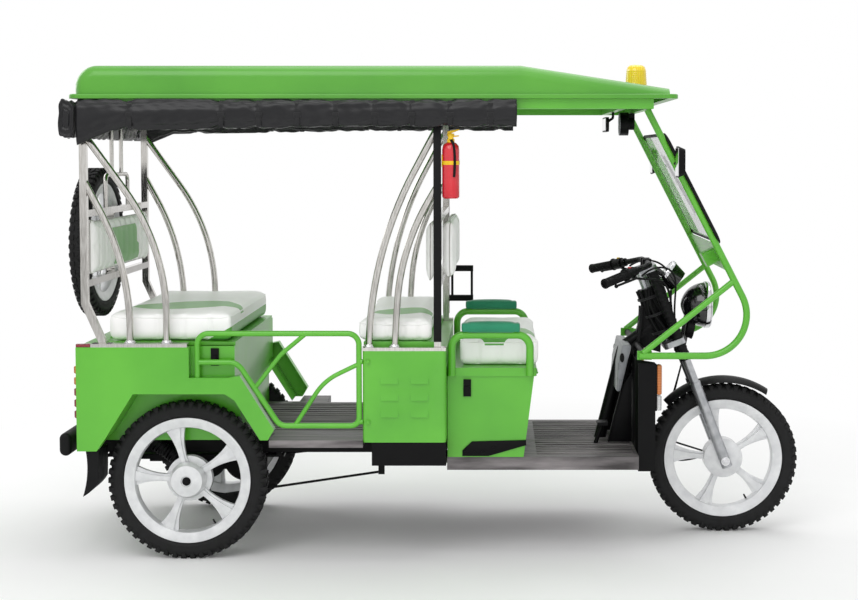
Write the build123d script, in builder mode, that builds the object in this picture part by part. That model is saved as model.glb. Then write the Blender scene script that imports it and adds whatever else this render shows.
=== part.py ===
from build123d import *
import os

# Electric passenger rickshaw, three wheels, millimetres.
# +X forward, +Y to the vehicle's left, +Z up. Z = 0 is the ground, X = 0 is the line of the middle posts.

# Running gear
tyre_dia = 576
tyre_width = 72
wheelbase = 2005
rear_axle_x = -911
rear_track = 780                  # between the middles of the rear tyres
rim_dia = 458
rim_width = 62
rim_wall = 13
rim_flange = 13                   # height of the rim's lip over the bead seat
seat_clear = 0.2                  # tyre to rim
hub_cap_dia = 132
hub_cap_out = 50                  # dome's top from the wheel's middle
hub_dia = 96
drum_dia = 166
drum_depth = 34
spokes = 5
spoke_waist = 28
spoke_root = 36
spoke_foot = 78
spoke_web = 15
spoke_ridge = 9
ridge_share = 0.5
axle_stub_dia = 28
axle_tube_dia = 60
diff_dia = 150
diff_round = 22
motor_dia = 170
motor_length = 215
run_clear = 0.05                  # radius, shaft in bore

# Steering
steer_x = 776                     # a point on the steering axis
steer_z = 997
rake = 21.2
steer_offset = 40                 # stanchions ahead of the steering axis
stanchion_y = 70
stanchion_dia = 33
slider_dia = 42
slider_length = 325
front_hub_half = 44
front_axle_dia = 15
head_tube_dia = 56
head_tube_bore = 36
head_top_z = 950
head_low_z = 752
clamp_thick = 22
clamp_clear = 6
grip_half_span = 350
grip_x = 607
grip_z = 998
grip_length = 125
grip_dia = 32
bar_dia = 22
lamp_dia = 180
lamp_x = 1040                     # middle of the headlamp's face
lamp_z = 885
lamp_depth = 112
gauge_dia = 105
gauge_x = 896
gauge_z = 993
guard_gap = 32                    # mudguard crown over the tyre
guard_half_width = 48.7
guard_sheet = 3
guard_from = 57                   # degrees about the axle, from +X
guard_to = 136

# Body
half_width = 490
sheet = 4
tail_x = -1290
tail_low_z = 409
body_top_z = 783
side_depth = 40
cap_rail = 12
rail_setback = 53                 # cap rail's rear end from the tail, where the reflector sits
floor_top_z = 450
floor_thick = 29
floor_half = 485
rail_height = 60
rail_width = 40
rail_y = 250
rear_box_front_x = -730
wheel_gap = 14                    # rear tyre to the seat box
rear_box_low_half = rear_track / 2 - tyre_width / 2 - wheel_gap
rear_box_half = 450
house_z = 615                     # underside of the wheel house
lid_thick = 12
rear_lid_rear_x = -1208
rear_lid_half = 430
rear_cushion_top_z = 900
soft_clear = 0.3
hinge_dia = 8
hinge_rows = (-250, 250)          # middles of the two hinges of each seat
lid_barrel = ((0, 30),)           # offset from the hinge's middle and length
box_barrels = ((-30.5, 30), (30.5, 30))
mid_box_rear_x = -268
mid_box_front_x = 30
mid_inset = 6                     # middle box inside the body's width
mid_box_half = half_width - mid_inset
mid_box_low_z = 440
mid_box_top_z = 769
louvre_out = 6
louvre_width = 61
louvre_height = 26
louvre_columns = (-172, -65)
louvre_rows = (664, 604, 544)
mid_cushion_rear_x = -296
mid_cushion_front_x = -14
mid_base_thick = 26
mid_cushion_top_z = 875
tray_low_z = 356
tray_rear_x = -236
driver_box_rear_x = 32
driver_box_top_x = 348
driver_box_foot_x = 310
driver_box_half = 375
driver_box_top_z = 663
driver_floor_z = 365
driver_floor_front_x = 732
driver_floor_half = 370
driver_floor_low_z = 316
driver_lid_front_x = 357
driver_lid_half = 381
driver_lid_top_z = 694
driver_cushion_rear_x = 66
driver_cushion_front_x = 375
driver_cushion_half = 340
driver_cushion_top_z = 798
arm_y = 393
arm_dia = 28
arm_top_z = 816
arm_rear_x = 48
arm_front_x = 332
arm_pad_length = 224
arm_pad_top_z = 861

# Posts, hoops and roof
post = 25
post_y = half_width - 35
rear_post_x = -1262
post_kink_z = 938
post_foot_x = -1194
hoop_dia = 25
roof_half = 490
roof_rear_x = -1308
roof_band = 16
roof_inset = 14
roof_rear_inset = 18
roof_low_z = 1668
roof_height = 118
roof_top_z = roof_low_z + roof_height
roof_shoulder = min(42, 0.36 * roof_height)
roof_back_round = min(78, 0.66 * roof_height)
roof_sheet = 5
roof_slope_x = 296
roof_slope_low_z = roof_low_z + 36
roof_tip_x = 856
frame_rail = 36
frame_rail_y = 450
cross_bars = (-1262, -650, 0, 662, 757)
front_bar = 757
beacon_x = 751
beacon_dia = 87
beacon_top_z = 1815

# Front frame
frame_tube = 25
frame_y = 363
pillar_low_x = 1219               # where the pillar's line meets the lower bar's line
lower_bar_z = 735
lower_bar_rear_x = 732
plate_in = 16                     # inner face of the bracket plates from the tubes' middle
frame_bend = 150
diagonal_top_x = 1077
glass_low_z = 1142
glass_high_z = 1535
glass_thick = 5
legshield_low_z = 304
legshield_high_z = 703
legshield_half = 340
wing_front_x = 795

front_axle_x = rear_axle_x + wheelbase
axle_z = tyre_dia / 2
bead_r = rim_dia / 2 - rim_flange
rail_top_z = floor_top_z - floor_thick
rail_low_z = rail_top_z - rail_height
pillar_dir = Vector(pillar_low_x - front_bar, 0, lower_bar_z - (roof_low_z - frame_rail)).normalized()
pillar_out = Vector(-pillar_dir.Z, 0, pillar_dir.X)
steer_dir = Vector(0, 0, -1).rotate(Axis.Y, -rake)
steer_fore = Vector(1, 0, 0).rotate(Axis.Y, -rake)


def steer_point(z, fore=0.0, y=0.0):
    # a point at height z on the steering axis, or on a line beside it
    start = Vector(steer_x, y, steer_z) + steer_fore * fore
    return start + steer_dir * ((start.Z - z) / -steer_dir.Z)


def block(x, y, z, mode=Mode.ADD):
    # a box between two values on each axis
    with Locations(((x[0] + x[1]) / 2, (y[0] + y[1]) / 2, (z[0] + z[1]) / 2)):
        Box(abs(x[1] - x[0]), abs(y[1] - y[0]), abs(z[1] - z[0]), mode=mode)


def tube(points, dia, bend=0, mode=Mode.ADD):
    # a round tube along straight runs with bends
    with BuildLine() as run:
        if len(points) > 2:
            FilletPolyline(*points, radius=bend)
        else:
            Line(*points)
    with BuildSketch(Plane(origin=run.line @ 0, z_dir=run.line % 0)) as section:
        Circle(dia / 2)
    sweep(sections=section.sketch, path=run.line, mode=mode)


def square_bar(points, side, mode=Mode.ADD):
    # a square tube along straight runs that lie in one upright plane
    with BuildLine() as run:
        Polyline(*points)
    with BuildSketch(Plane(origin=run.line @ 0, x_dir=(0, 1, 0), z_dir=run.line % 0)) as section:
        Rectangle(side, side)
    sweep(sections=section.sketch, path=run.line, transition=Transition.RIGHT, mode=mode)


def knuckles(x, z, offsets, leaf_x, leaf_z):
    # barrels of the seat hinges on the axis x, z, at offsets from each hinge's middle, with their leaves
    for y in hinge_rows:
        for offset_y, length in offsets:
            middle = y + offset_y
            with BuildSketch(Plane.XZ.offset(-middle - length / 2)) as barrel:
                with Locations((x, z)):
                    Circle(hinge_dia / 2)
            extrude(barrel.sketch, amount=length)
            block(leaf_x, (middle - length / 2, middle + length / 2), leaf_z)


def finish(part, name):
    part.label = name
    export_step(part, "parts/" + name + ".step")


os.makedirs("parts", exist_ok=True)

# Wheel forms about +Z, outer side up
with BuildPart() as tyre_form:
    with BuildSketch(Plane.XZ):
        with BuildLine():
            edge = tyre_width / 2
            bead = rim_width / 2 - 6.5 - seat_clear
            low = bead_r + seat_clear
            lip = rim_dia / 2 + seat_clear
            top = tyre_dia / 2
            bulge = (lip + top) / 2 - 2
            Polyline((lip, -bead - 1.5), (low, -bead), (low, bead), (lip, bead + 1.5))
            ThreePointArc((lip, bead + 1.5), (bulge, edge), (top - 12, edge - 7))
            ThreePointArc((top - 12, edge - 7), (top, 0), (top - 12, 7 - edge))
            ThreePointArc((top - 12, 7 - edge), (bulge, -edge), (lip, -bead - 1.5))
        make_face()
    revolve(axis=Axis.Z)


def rim_profile():
    # half section of the rim: lips, bead seats, well and inner face
    lip = rim_dia / 2
    out = rim_width / 2
    Polyline(
        (lip, out), (lip, out - 5), (bead_r, out - 6.5), (bead_r, 15), (bead_r - rim_flange, 9),
        (bead_r - rim_flange, -9), (bead_r, -15), (bead_r, 6.5 - out), (lip, 5 - out), (lip, -out),
        (lip - 7, -out), (bead_r - rim_wall - 9, 8 - out), (bead_r - rim_flange - rim_wall, -11),
        (bead_r - rim_flange - rim_wall, 11), (bead_r - rim_wall - 9, out - 8), (lip - 7, out), close=True,
    )


def spoke_outline(reach, share=1.0):
    # one spoke from the hub to the rim, narrow at its waist; share narrows it for the ridge
    start = hub_dia / 2 - 8
    mid = start + (reach - start) * 0.42
    root = spoke_root / 2 * share
    waist = spoke_waist / 2 * share
    foot = spoke_foot / 2 * share
    with BuildSketch() as sketch:
        with BuildLine():
            ThreePointArc((start, root), (mid, waist), (reach, foot))
            Line((reach, foot), (reach, -foot))
            ThreePointArc((reach, -foot), (mid, -waist), (start, -root))
            Line((start, -root), (start, root))
        make_face()
    return sketch.sketch


def cast_wheel(hub):
    # rim, spokes and hub as one casting; hub is its half section as (radius, height) points
    with BuildPart() as wheel:
        with BuildSketch(Plane.XZ):
            with BuildLine():
                rim_profile()
            make_face()
        revolve(axis=Axis.Z)
        with BuildSketch(Plane.XZ):
            with BuildLine():
                Polyline(*hub, close=True)
            make_face()
        revolve(axis=Axis.Z)
        reach = bead_r - rim_flange - rim_wall / 2
        with BuildSketch(Plane.XY.offset(-spoke_web / 2)):
            with PolarLocations(0, spokes, start_angle=104):
                add(spoke_outline(reach))
        extrude(amount=spoke_web)
        with BuildSketch(Plane.XY.offset(-spoke_web / 2 - spoke_ridge)):
            with PolarLocations(0, spokes, start_angle=104):
                add(spoke_outline(reach, ridge_share))
        extrude(amount=spoke_web + 2 * spoke_ridge)
    return wheel.part


stub_r = axle_stub_dia / 2 + run_clear
rear_hub = (
    (stub_r, -drum_depth), (drum_dia / 2, -drum_depth), (drum_dia / 2, -8), (hub_dia / 2, -4),
    (hub_dia / 2, 14), (hub_cap_dia / 2, 24), (hub_cap_dia / 2 - 10, hub_cap_out - 6), (20, hub_cap_out),
    (18, hub_cap_out - 5), (0, hub_cap_out - 5), (0, 30), (stub_r, 30),
)
pin_r = front_axle_dia / 2 + run_clear
front_hub = (
    (pin_r, -front_hub_half), (40, -front_hub_half), (drum_dia / 2 - 8, 12 - front_hub_half),
    (drum_dia / 2 - 8, front_hub_half - 12), (40, front_hub_half), (pin_r, front_hub_half),
)
rear_wheel_form = cast_wheel(rear_hub)
front_wheel_form = cast_wheel(front_hub)

# name, middle (x, y, z), direction of the wheel's outer side, casting
wheels = (
    ("rear_right", (rear_axle_x, -rear_track / 2, axle_z), (0, -1, 0), rear_wheel_form),
    ("rear_left", (rear_axle_x, rear_track / 2, axle_z), (0, 1, 0), rear_wheel_form),
    ("front", (front_axle_x, 0, axle_z), (0, -1, 0), front_wheel_form),
)
for name, middle, outer, form in wheels:
    place = Plane(origin=middle, x_dir=(1, 0, 0), z_dir=outer).location
    with BuildPart() as tyre:
        with Locations(place):
            add(tyre_form.part)
    finish(tyre.part, name + "_tyre")
    with BuildPart() as wheel:
        with Locations(place):
            add(form)
    finish(wheel.part, name + "_wheel")

# Spare wheel on the back of the cabin
spare_z = 1130
spare_x = -1338
spare_place = Plane(origin=(spare_x, 0, spare_z), x_dir=(0, 1, 0), z_dir=(-1, 0, 0)).location
with BuildPart() as spare_tyre:
    with Locations(spare_place):
        add(tyre_form.part)
finish(spare_tyre.part, "spare_tyre")
with BuildPart() as spare_wheel:
    with Locations(spare_place):
        add(front_wheel_form)
finish(spare_wheel.part, "spare_wheel")

# Rear axle: tube, backplates, differential and the motor ahead of it
wheel_inner_y = rear_track / 2 - drum_depth
plate_y = wheel_inner_y - 5
with BuildPart() as rear_axle:
    with BuildSketch(Plane.XZ.offset(-plate_y)) as ends:
        with Locations((rear_axle_x, axle_z)):
            Circle(axle_tube_dia / 2)
    extrude(amount=2 * plate_y)
    for side in (-1, 1):
        with BuildSketch(Plane(origin=(rear_axle_x, side * (plate_y - 8), axle_z), z_dir=(0, side, 0))):
            Circle(drum_dia / 2)
        extrude(amount=8)
        with BuildSketch(Plane(origin=(rear_axle_x, side * plate_y, axle_z), z_dir=(0, side, 0))):
            Circle(axle_stub_dia / 2)
        extrude(amount=rear_track / 2 + 28 - plate_y)
    with BuildSketch(Plane.XZ.offset(-65)):
        with Locations((rear_axle_x, axle_z)):
            Circle(diff_dia / 2)
    extrude(amount=130)
    rims = rear_axle.edges().filter_by(GeomType.CIRCLE)
    fillet(rims.filter_by(lambda e: abs(e.radius - diff_dia / 2) < 0.1), diff_round)
    motor_x = rear_axle_x + (diff_dia + motor_dia) / 2 - 12
    with BuildSketch(Plane.XZ.offset(45)):
        with Locations((motor_x, axle_z)):
            Circle(motor_dia / 2)
    extrude(amount=-motor_length)
    block((rear_axle_x, motor_x), (-45, 45), (axle_z - 40, axle_z + 40))
finish(rear_axle.part, "rear_axle")

# Leaf springs with their U-bolt saddles under the rails, and coil shock absorbers beside them
spring_width = 50
leaf_reaches = (330, 250, 170)
leaf_pitch = 8
saddle_reach = 45
eye_reach = 312
tube_top_z = axle_z + axle_tube_dia / 2
leaf_top_z = tube_top_z + 34
shock_dia = 50
shock_rod_dia = 18
shock_top = (-1050, rail_low_z + 45)
shock_low = (-965, tube_top_z + 20)
coil_turns = 6
coil_pitch = 14
with BuildPart() as rear_springs:
    for side in (-1, 1):
        y = (side * rail_y - spring_width / 2, side * rail_y + spring_width / 2)
        for leaf, reach in enumerate(leaf_reaches):
            top = leaf_top_z - leaf * leaf_pitch
            block((rear_axle_x - reach, rear_axle_x + reach), y, (top - leaf_pitch, top))
        block((rear_axle_x - saddle_reach, rear_axle_x + saddle_reach), y, (tube_top_z, tube_top_z + 10))
        for end in (-1, 1):
            eye = rear_axle_x + end * eye_reach
            block((eye - 9, eye + 9), y, (leaf_top_z, rail_low_z))
    for side in (-1, 1):
        y = side * (rail_y + spring_width / 2 + shock_dia / 2 + 2)
        high = Vector(shock_top[0], y, shock_top[1])
        low = Vector(shock_low[0], y, shock_low[1])
        lean = (high - low).normalized()
        tube([high, low], shock_rod_dia)
        for turn in range(coil_turns):
            with BuildSketch(Plane(origin=low + lean * (20 + turn * coil_pitch), z_dir=lean)):
                Circle(shock_dia / 2)
            extrude(amount=coil_pitch / 2)
        tube([(high.X, side * (rail_y + rail_width / 2), high.Z), (high.X, y + side * 10, high.Z)], 24)
        plate = (y - 14, y + 14)
        block((low.X - 14, rear_axle_x + 12), plate, (tube_top_z, tube_top_z + 8))
        block((low.X - 9, low.X + 9), plate, (tube_top_z, low.Z + 4))
finish(rear_springs.part, "rear_springs")

# Ladder chassis: rear rails, lower front rails, cross members, spine and head tube
front_rail_top = driver_floor_z - sheet
front_rail_low = front_rail_top - 40
spine_dia = 46
with BuildPart() as chassis:
    for side in (-1, 1):
        y = (side * rail_y - rail_width / 2, side * rail_y + rail_width / 2)
        block((tail_x + sheet, 20), y, (rail_low_z, rail_top_z))
        block((-40, 660), y, (front_rail_low, front_rail_top))
    for x in (-1265, -1080, -700, -450, -180):
        block((x - 20, x + 20), (-rail_y, rail_y), (rail_top_z - 40, rail_top_z))
    for x in (0, 200, 420, 640):
        block((x - 20, x + 20), (-rail_y, rail_y), (front_rail_low, front_rail_top))
    head_high = steer_point(head_top_z)
    head_low = steer_point(head_low_z)
    spine_top = steer_point((head_top_z + head_low_z) / 2 - 30)
    knee = (705, 0, 722)
    tube([spine_top, knee, (612, 0, front_rail_top - 10)], spine_dia, 60)
    tube([head_high, head_low], head_tube_dia)
    cross_end = frame_y - plate_in
    cross_x = lower_bar_rear_x + 22
    tube([(cross_x, -cross_end, lower_bar_z), (cross_x, cross_end, lower_bar_z)], frame_tube)
    tube([head_high, head_low], head_tube_bore, mode=Mode.SUBTRACT)
finish(chassis.part, "chassis")

# Passenger floor with ribs and the entry step recess on the left side
entry_front_x = mid_box_rear_x
entry_rear_x = -490
entry_half = 320
floor_step_x = -604                # the floor widens in front of the wheel houses
rib_height = 3
rib_width = 12
rib_pitch = 42
with BuildPart() as passenger_floor:
    with BuildSketch(Plane.XY.offset(rail_top_z)):
        with BuildLine():
            Polyline(
                (rear_box_front_x, -rear_box_low_half), (floor_step_x, -rear_box_low_half),
                (floor_step_x, -floor_half), (mid_box_rear_x, -floor_half),
                (mid_box_rear_x, floor_half), (entry_front_x - 2, floor_half),
                (entry_front_x - 2, entry_half), (entry_rear_x, entry_half), (entry_rear_x, floor_half),
                (floor_step_x, floor_half), (floor_step_x, rear_box_low_half),
                (rear_box_front_x, rear_box_low_half), close=True,
            )
        make_face()
    extrude(amount=floor_thick - rib_height)
    count = int((2 * entry_half - 20) / rib_pitch)
    rib_x = (rear_box_front_x + 8, mid_box_rear_x - 6)
    for n in range(count):
        y = (n - (count - 1) / 2) * rib_pitch
        block(rib_x, (y - rib_width / 2, y + rib_width / 2), (floor_top_z - rib_height, floor_top_z))
finish(passenger_floor.part, "passenger_floor")

# Foot step hung below the entry on the left
step_z = 345
with BuildPart() as foot_step:
    block((entry_rear_x + 15, entry_front_x - 15), (entry_half + 8, floor_half - 5), (step_z - 5, step_z))
    for x in (entry_rear_x + 40, entry_front_x - 40):
        block((x - 12, x + 12), (rail_y + rail_width / 2, entry_half + 20), (step_z - 11, step_z - 5))
        rail_side = rail_y + rail_width / 2
        block((x - 12, x + 12), (rail_side, rail_side + 6), (step_z - 5, rail_top_z - 2))
finish(foot_step.part, "foot_step")

# Trays beside the rails under the middle box
with BuildPart() as side_trays:
    for side in (-1, 1):
        outer = side * mid_box_half
        inner = side * (rail_y + rail_width / 2)
        block((tray_rear_x, mid_box_front_x), (inner, outer), (tray_low_z, tray_low_z + sheet))
        lip = (outer - side * sheet, outer)
        block((tray_rear_x, mid_box_front_x), lip, (tray_low_z + sheet, mid_box_low_z))
finish(side_trays.part, "side_trays")

# Rear side panels: hollow pans with the wheel arch, and the wheel house behind it
arch = ((-1220, tail_low_z), (-1187, 457), (-1088, house_z), (-760, house_z), (-726, 593), (-635, 449))
ledge_z = 673
full_side_x = -887


def side_outline():
    # a rear side seen from the right, with the bottom edge following the wheel arch
    with BuildSketch() as sketch:
        with BuildLine():
            Polyline(
                (tail_x, tail_low_z), *arch, (-607, 449), (-585, 486), (-706, ledge_z + 8),
                (-748, ledge_z), (full_side_x, ledge_z), (full_side_x, body_top_z),
                (tail_x, body_top_z), close=True,
            )
        make_face()
    return sketch.sketch


with BuildSketch() as side_inner:
    add(side_outline())
    offset(amount=-sheet, mode=Mode.REPLACE, kind=Kind.INTERSECTION)
with BuildPart() as rear_sides:
    for side in (-1, 1):
        with BuildSketch(Plane.XZ.offset(-side * half_width)):
            add(side_outline())
        extrude(amount=side * side_depth)
        with BuildSketch(Plane.XZ.offset(-side * (half_width - sheet))):
            add(side_inner.sketch)
        extrude(amount=side * side_depth, mode=Mode.SUBTRACT)
        with BuildSketch(Plane.XZ.offset(-side * (half_width - side_depth))):
            with BuildLine():
                Polyline(*arch[1:], *((x, z + sheet) for x, z in reversed(arch[1:])), close=True)
            make_face()
        extrude(amount=side * (half_width - side_depth - rear_box_low_half))
finish(rear_sides.part, "rear_sides")

# Tail panel between the sides, with the two holes for a number plate
plate_pitch = 150
plate_hole = 7
plate_z = 545
with BuildPart() as tail_panel:
    inner = half_width - side_depth
    block((tail_x, tail_x + sheet), (-inner, inner), (tail_low_z, body_top_z))
    with BuildSketch(Plane(origin=(tail_x, 0, plate_z), x_dir=(0, 1, 0), z_dir=(-1, 0, 0))):
        with GridLocations(plate_pitch, 1, 2, 1):
            Circle(plate_hole / 2)
    extrude(amount=-sheet, mode=Mode.SUBTRACT)
finish(tail_panel.part, "tail_panel")

# Rear seat box, wider above the wheel houses
house_top = house_z + sheet


def box_section(grow, top):
    # the box seen from the front: narrow between the wheels, wide above them
    low = rear_box_low_half + grow
    wide = rear_box_half + grow
    with BuildSketch() as sketch:
        with BuildLine():
            Polyline(
                (-wide, top), (-wide, house_top - grow), (-low, house_top - grow), (-low, rail_top_z - grow),
                (low, rail_top_z - grow), (low, house_top - grow), (wide, house_top - grow),
                (wide, top), close=True,
            )
        make_face()
    return sketch.sketch


with BuildPart() as rear_seat_box:
    with BuildSketch(Plane.YZ.offset(tail_x + sheet)):
        add(box_section(0, body_top_z))
    extrude(amount=rear_box_front_x - tail_x - sheet)
    with BuildSketch(Plane.YZ.offset(tail_x + 2 * sheet)):
        add(box_section(-sheet, body_top_z + sheet))
    extrude(amount=rear_box_front_x - tail_x - 3 * sheet, mode=Mode.SUBTRACT)
    strip_z = (body_top_z - sheet, body_top_z)
    block((tail_x + sheet, rear_lid_rear_x), (-rear_box_half, rear_box_half), strip_z)
    rear_hinge_x = rear_lid_rear_x - hinge_dia / 2
    rear_hinge_z = body_top_z + lid_thick
    leaf_x = (rear_hinge_x - 4, rear_hinge_x)
    knuckles(rear_hinge_x, rear_hinge_z, box_barrels, leaf_x, (body_top_z, rear_hinge_z))
finish(rear_seat_box.part, "rear_seat_box")

# Battery pack inside the rear seat box
battery = (400, 2 * rear_box_low_half - 60, 230)
battery_middle_x = -1010
with BuildPart() as battery_block:
    with Locations((battery_middle_x, 0, rail_top_z + sheet + battery[2] / 2)):
        Box(*battery)
finish(battery_block.part, "battery_block")

# Rear seat lid and cushion, one body on a hinge at its rear edge
with BuildPart() as rear_seat_lid:
    lid_z = (body_top_z, body_top_z + lid_thick)
    block((rear_lid_rear_x, rear_box_front_x), (-rear_lid_half, rear_lid_half), lid_z)
    leaf_x = (rear_hinge_x, rear_lid_rear_x)
    knuckles(rear_hinge_x, rear_hinge_z, lid_barrel, leaf_x, (rear_hinge_z - 7, rear_hinge_z))
finish(rear_seat_lid.part, "rear_seat_lid")
with BuildPart() as rear_cushion:
    low = body_top_z + lid_thick + soft_clear
    x = (rear_lid_rear_x + 5, rear_box_front_x - 3)
    block(x, (-rear_lid_half, rear_lid_half), (low, rear_cushion_top_z))
    fillet(rear_cushion.edges().filter_by(Axis.Z), 30)
    fillet(rear_cushion.faces().sort_by(Axis.Z)[-1].edges(), 22)
finish(rear_cushion.part, "rear_cushion")

# Rear posts on the body's cap rails, with the bars that hold the backrest and the spare wheel
back_bar_z = 1259
back_low_bar_z = 1008
bracket_half = 165
bracket_top_z = 1392
frame_low_z = roof_low_z - frame_rail
with BuildPart() as rear_posts:
    for side in (-1, 1):
        y = side * post_y
        points = [(rear_post_x, y, frame_low_z), (rear_post_x, y, post_kink_z), (post_foot_x, y, body_top_z)]
        square_bar(points, post)
        rail_x = (tail_x + rail_setback, full_side_x - 6)
        block(rail_x, (side * (post_y - post / 2), side * half_width), (body_top_z, body_top_z + cap_rail))
    for z in (back_bar_z, back_low_bar_z):
        x = (rear_post_x - post / 2, rear_post_x + post / 2)
        block(x, (-post_y, post_y), (z - post / 2, z + post / 2))
    block((-2000, 0), (-half_width, half_width), (body_top_z - 60, body_top_z), mode=Mode.SUBTRACT)
finish(rear_posts.part, "rear_posts")

# Curved grab rails between the posts and the body
# start height, corner (x, z), foot x, bend radius
rear_hoop_rows = ((1530, (-972, 1142), -972, 775), (1360, (-1103, 1078), -1103, 940))
with BuildPart() as rear_hoops:
    for side in (-1, 1):
        for start_z, corner, foot_x, bend in rear_hoop_rows:
            y = side * post_y
            points = [(rear_post_x, y, start_z + 16), (corner[0], y, corner[1]), (foot_x, y, body_top_z)]
            tube(points, hoop_dia, bend)
    add(rear_posts.part, mode=Mode.SUBTRACT)
    block((-2000, 0), (-half_width, half_width), (body_top_z - 60, body_top_z), mode=Mode.SUBTRACT)

# Rear backrest pad between the two bars
rear_back_thick = 48
with BuildPart() as rear_backrest:
    z = (back_low_bar_z + post / 2 + soft_clear, back_bar_z - post / 2 - soft_clear)
    x = (rear_post_x - post / 2 - 8, rear_post_x - post / 2 - 8 + rear_back_thick)
    block(x, (-rear_lid_half, rear_lid_half), z)
    fillet(rear_backrest.edges().filter_by(Axis.X), 28)
    fillet(rear_backrest.faces().sort_by(Axis.X)[-1].edges(), 14)

# Spare wheel bracket: an upturned U on two hangers, with the bolt through the wheel's hub
with BuildPart() as spare_bracket:
    legs = [
        (rear_post_x, -bracket_half, back_bar_z - 10), (rear_post_x, -bracket_half, bracket_top_z),
        (rear_post_x, bracket_half, bracket_top_z), (rear_post_x, bracket_half, back_bar_z - 10),
    ]
    tube(legs, 16, 30)
    for y in (-70, 70):
        tube([(rear_post_x, y, bracket_top_z), (rear_post_x, y, roof_low_z - frame_rail)], 16)
    plate_low = back_low_bar_z - post / 2
    back = spare_x + front_hub_half
    block((back, back + 5), (-60, 60), (plate_low, back_bar_z + post / 2))
    for z in (back_bar_z, back_low_bar_z):
        block((back + 5, rear_post_x - post / 2), (-25, 25), (z - post / 2, z + post / 2))
    with BuildSketch(Plane(origin=(back + 5, 0, spare_z), z_dir=(-1, 0, 0))):
        Circle(front_axle_dia / 2)
    extrude(amount=5 + 2 * front_hub_half)
    add(rear_posts.part, mode=Mode.SUBTRACT)
finish(spare_bracket.part, "spare_bracket")

# Middle seat box, open below, with louvres pressed into its sides
with BuildPart() as mid_seat_box:
    block((mid_box_rear_x, mid_box_front_x), (-mid_box_half, mid_box_half), (mid_box_low_z, mid_box_top_z))
    fillet(mid_seat_box.edges().filter_by(Axis.Z), 12)
    inner = mid_box_half - sheet
    x = (mid_box_rear_x + sheet, mid_box_front_x - sheet)
    block(x, (-inner, inner), (mid_box_low_z, mid_box_top_z - sheet), mode=Mode.SUBTRACT)
    for side in (-1, 1):
        for z in louvre_rows:
            with BuildSketch(Plane.YZ) as hood:
                with BuildLine():
                    face = side * mid_box_half
                    Polyline(
                        (face, z + louvre_height / 2), (face + side * louvre_out, z - louvre_height / 2 + 5),
                        (face + side * louvre_out, z - louvre_height / 2), (face, z - louvre_height / 2),
                        close=True,
                    )
                make_face()
            for x in louvre_columns:
                start = Location((x - louvre_width / 2, 0, 0))
                extrude(hood.sketch.moved(start), louvre_width, dir=(1, 0, 0))
finish(mid_seat_box.part, "mid_seat_box")

# Middle posts with the bars for the two backrests
mid_bar_z = (1240, 1007)
with BuildPart() as mid_posts:
    for side in (-1, 1):
        y = side * post_y
        block((-post / 2, post / 2), (y - post / 2, y + post / 2), (mid_box_top_z, frame_low_z))
        rail_y_range = (side * (post_y - post / 2), side * mid_box_half)
        block((mid_box_rear_x, mid_box_front_x), rail_y_range, (mid_box_top_z, mid_box_top_z + cap_rail))
    for z in mid_bar_z:
        block((-post / 2, post / 2), (-post_y, post_y), (z - post / 2, z + post / 2))
finish(mid_posts.part, "mid_posts")

mid_hoop_rows = ((1551, (-227, 1139), -248, 1380), (1344, (-133, 1132), -155, 820))
with BuildPart() as mid_hoops:
    for side in (-1, 1):
        for start_z, corner, foot_x, bend in mid_hoop_rows:
            y = side * post_y
            route = [(0, y, start_z + 14), (corner[0], y, corner[1]), (foot_x, y, mid_box_top_z)]
            tube(route, hoop_dia, bend)
    add(mid_posts.part, mode=Mode.SUBTRACT)
    block((-400, 100), (-half_width, half_width), (mid_box_top_z - 60, mid_box_top_z), mode=Mode.SUBTRACT)
with BuildPart() as grab_hoops:
    add(rear_hoops.part)
    add(mid_hoops.part)
finish(grab_hoops.part, "grab_hoops")

# Middle cushion on its base, facing backwards
with BuildPart() as mid_seat_base:
    x = (mid_box_rear_x, mid_cushion_front_x)
    block(x, (-rear_lid_half, rear_lid_half), (mid_box_top_z, mid_box_top_z + mid_base_thick))
finish(mid_seat_base.part, "mid_seat_base")
with BuildPart() as mid_cushion:
    low = mid_box_top_z + mid_base_thick + soft_clear
    x = (mid_cushion_rear_x, mid_cushion_front_x)
    block(x, (-rear_lid_half, rear_lid_half), (low, mid_cushion_top_z))
    fillet(mid_cushion.edges().filter_by(Axis.Z), 30)
    fillet(mid_cushion.faces().sort_by(Axis.Z)[-1].edges(), 22)
finish(mid_cushion.part, "mid_cushion")

# Backrests on both faces of the middle posts
back_pad = 30
driver_pad = 46
# side of the posts, thickness, half width
back_rows = ((-1, back_pad, 425), (1, driver_pad, 330))
with BuildPart() as backrests:
    add(rear_backrest.part)
    for side, thick, half in back_rows:
        face = side * (post / 2 + soft_clear)
        middle = (face, 0, (mid_bar_z[0] + mid_bar_z[1]) / 2)
        with BuildSketch(Plane(origin=middle, x_dir=(0, 1, 0), z_dir=(side, 0, 0))):
            RectangleRounded(2 * half, mid_bar_z[0] - mid_bar_z[1] + 4, 40)
        extrude(amount=thick)
        outer = backrests.faces(Select.LAST).sort_by(Axis.X)[0 if side < 0 else -1]
        fillet(outer.edges(), 12)
finish(backrests.part, "backrests")

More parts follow.
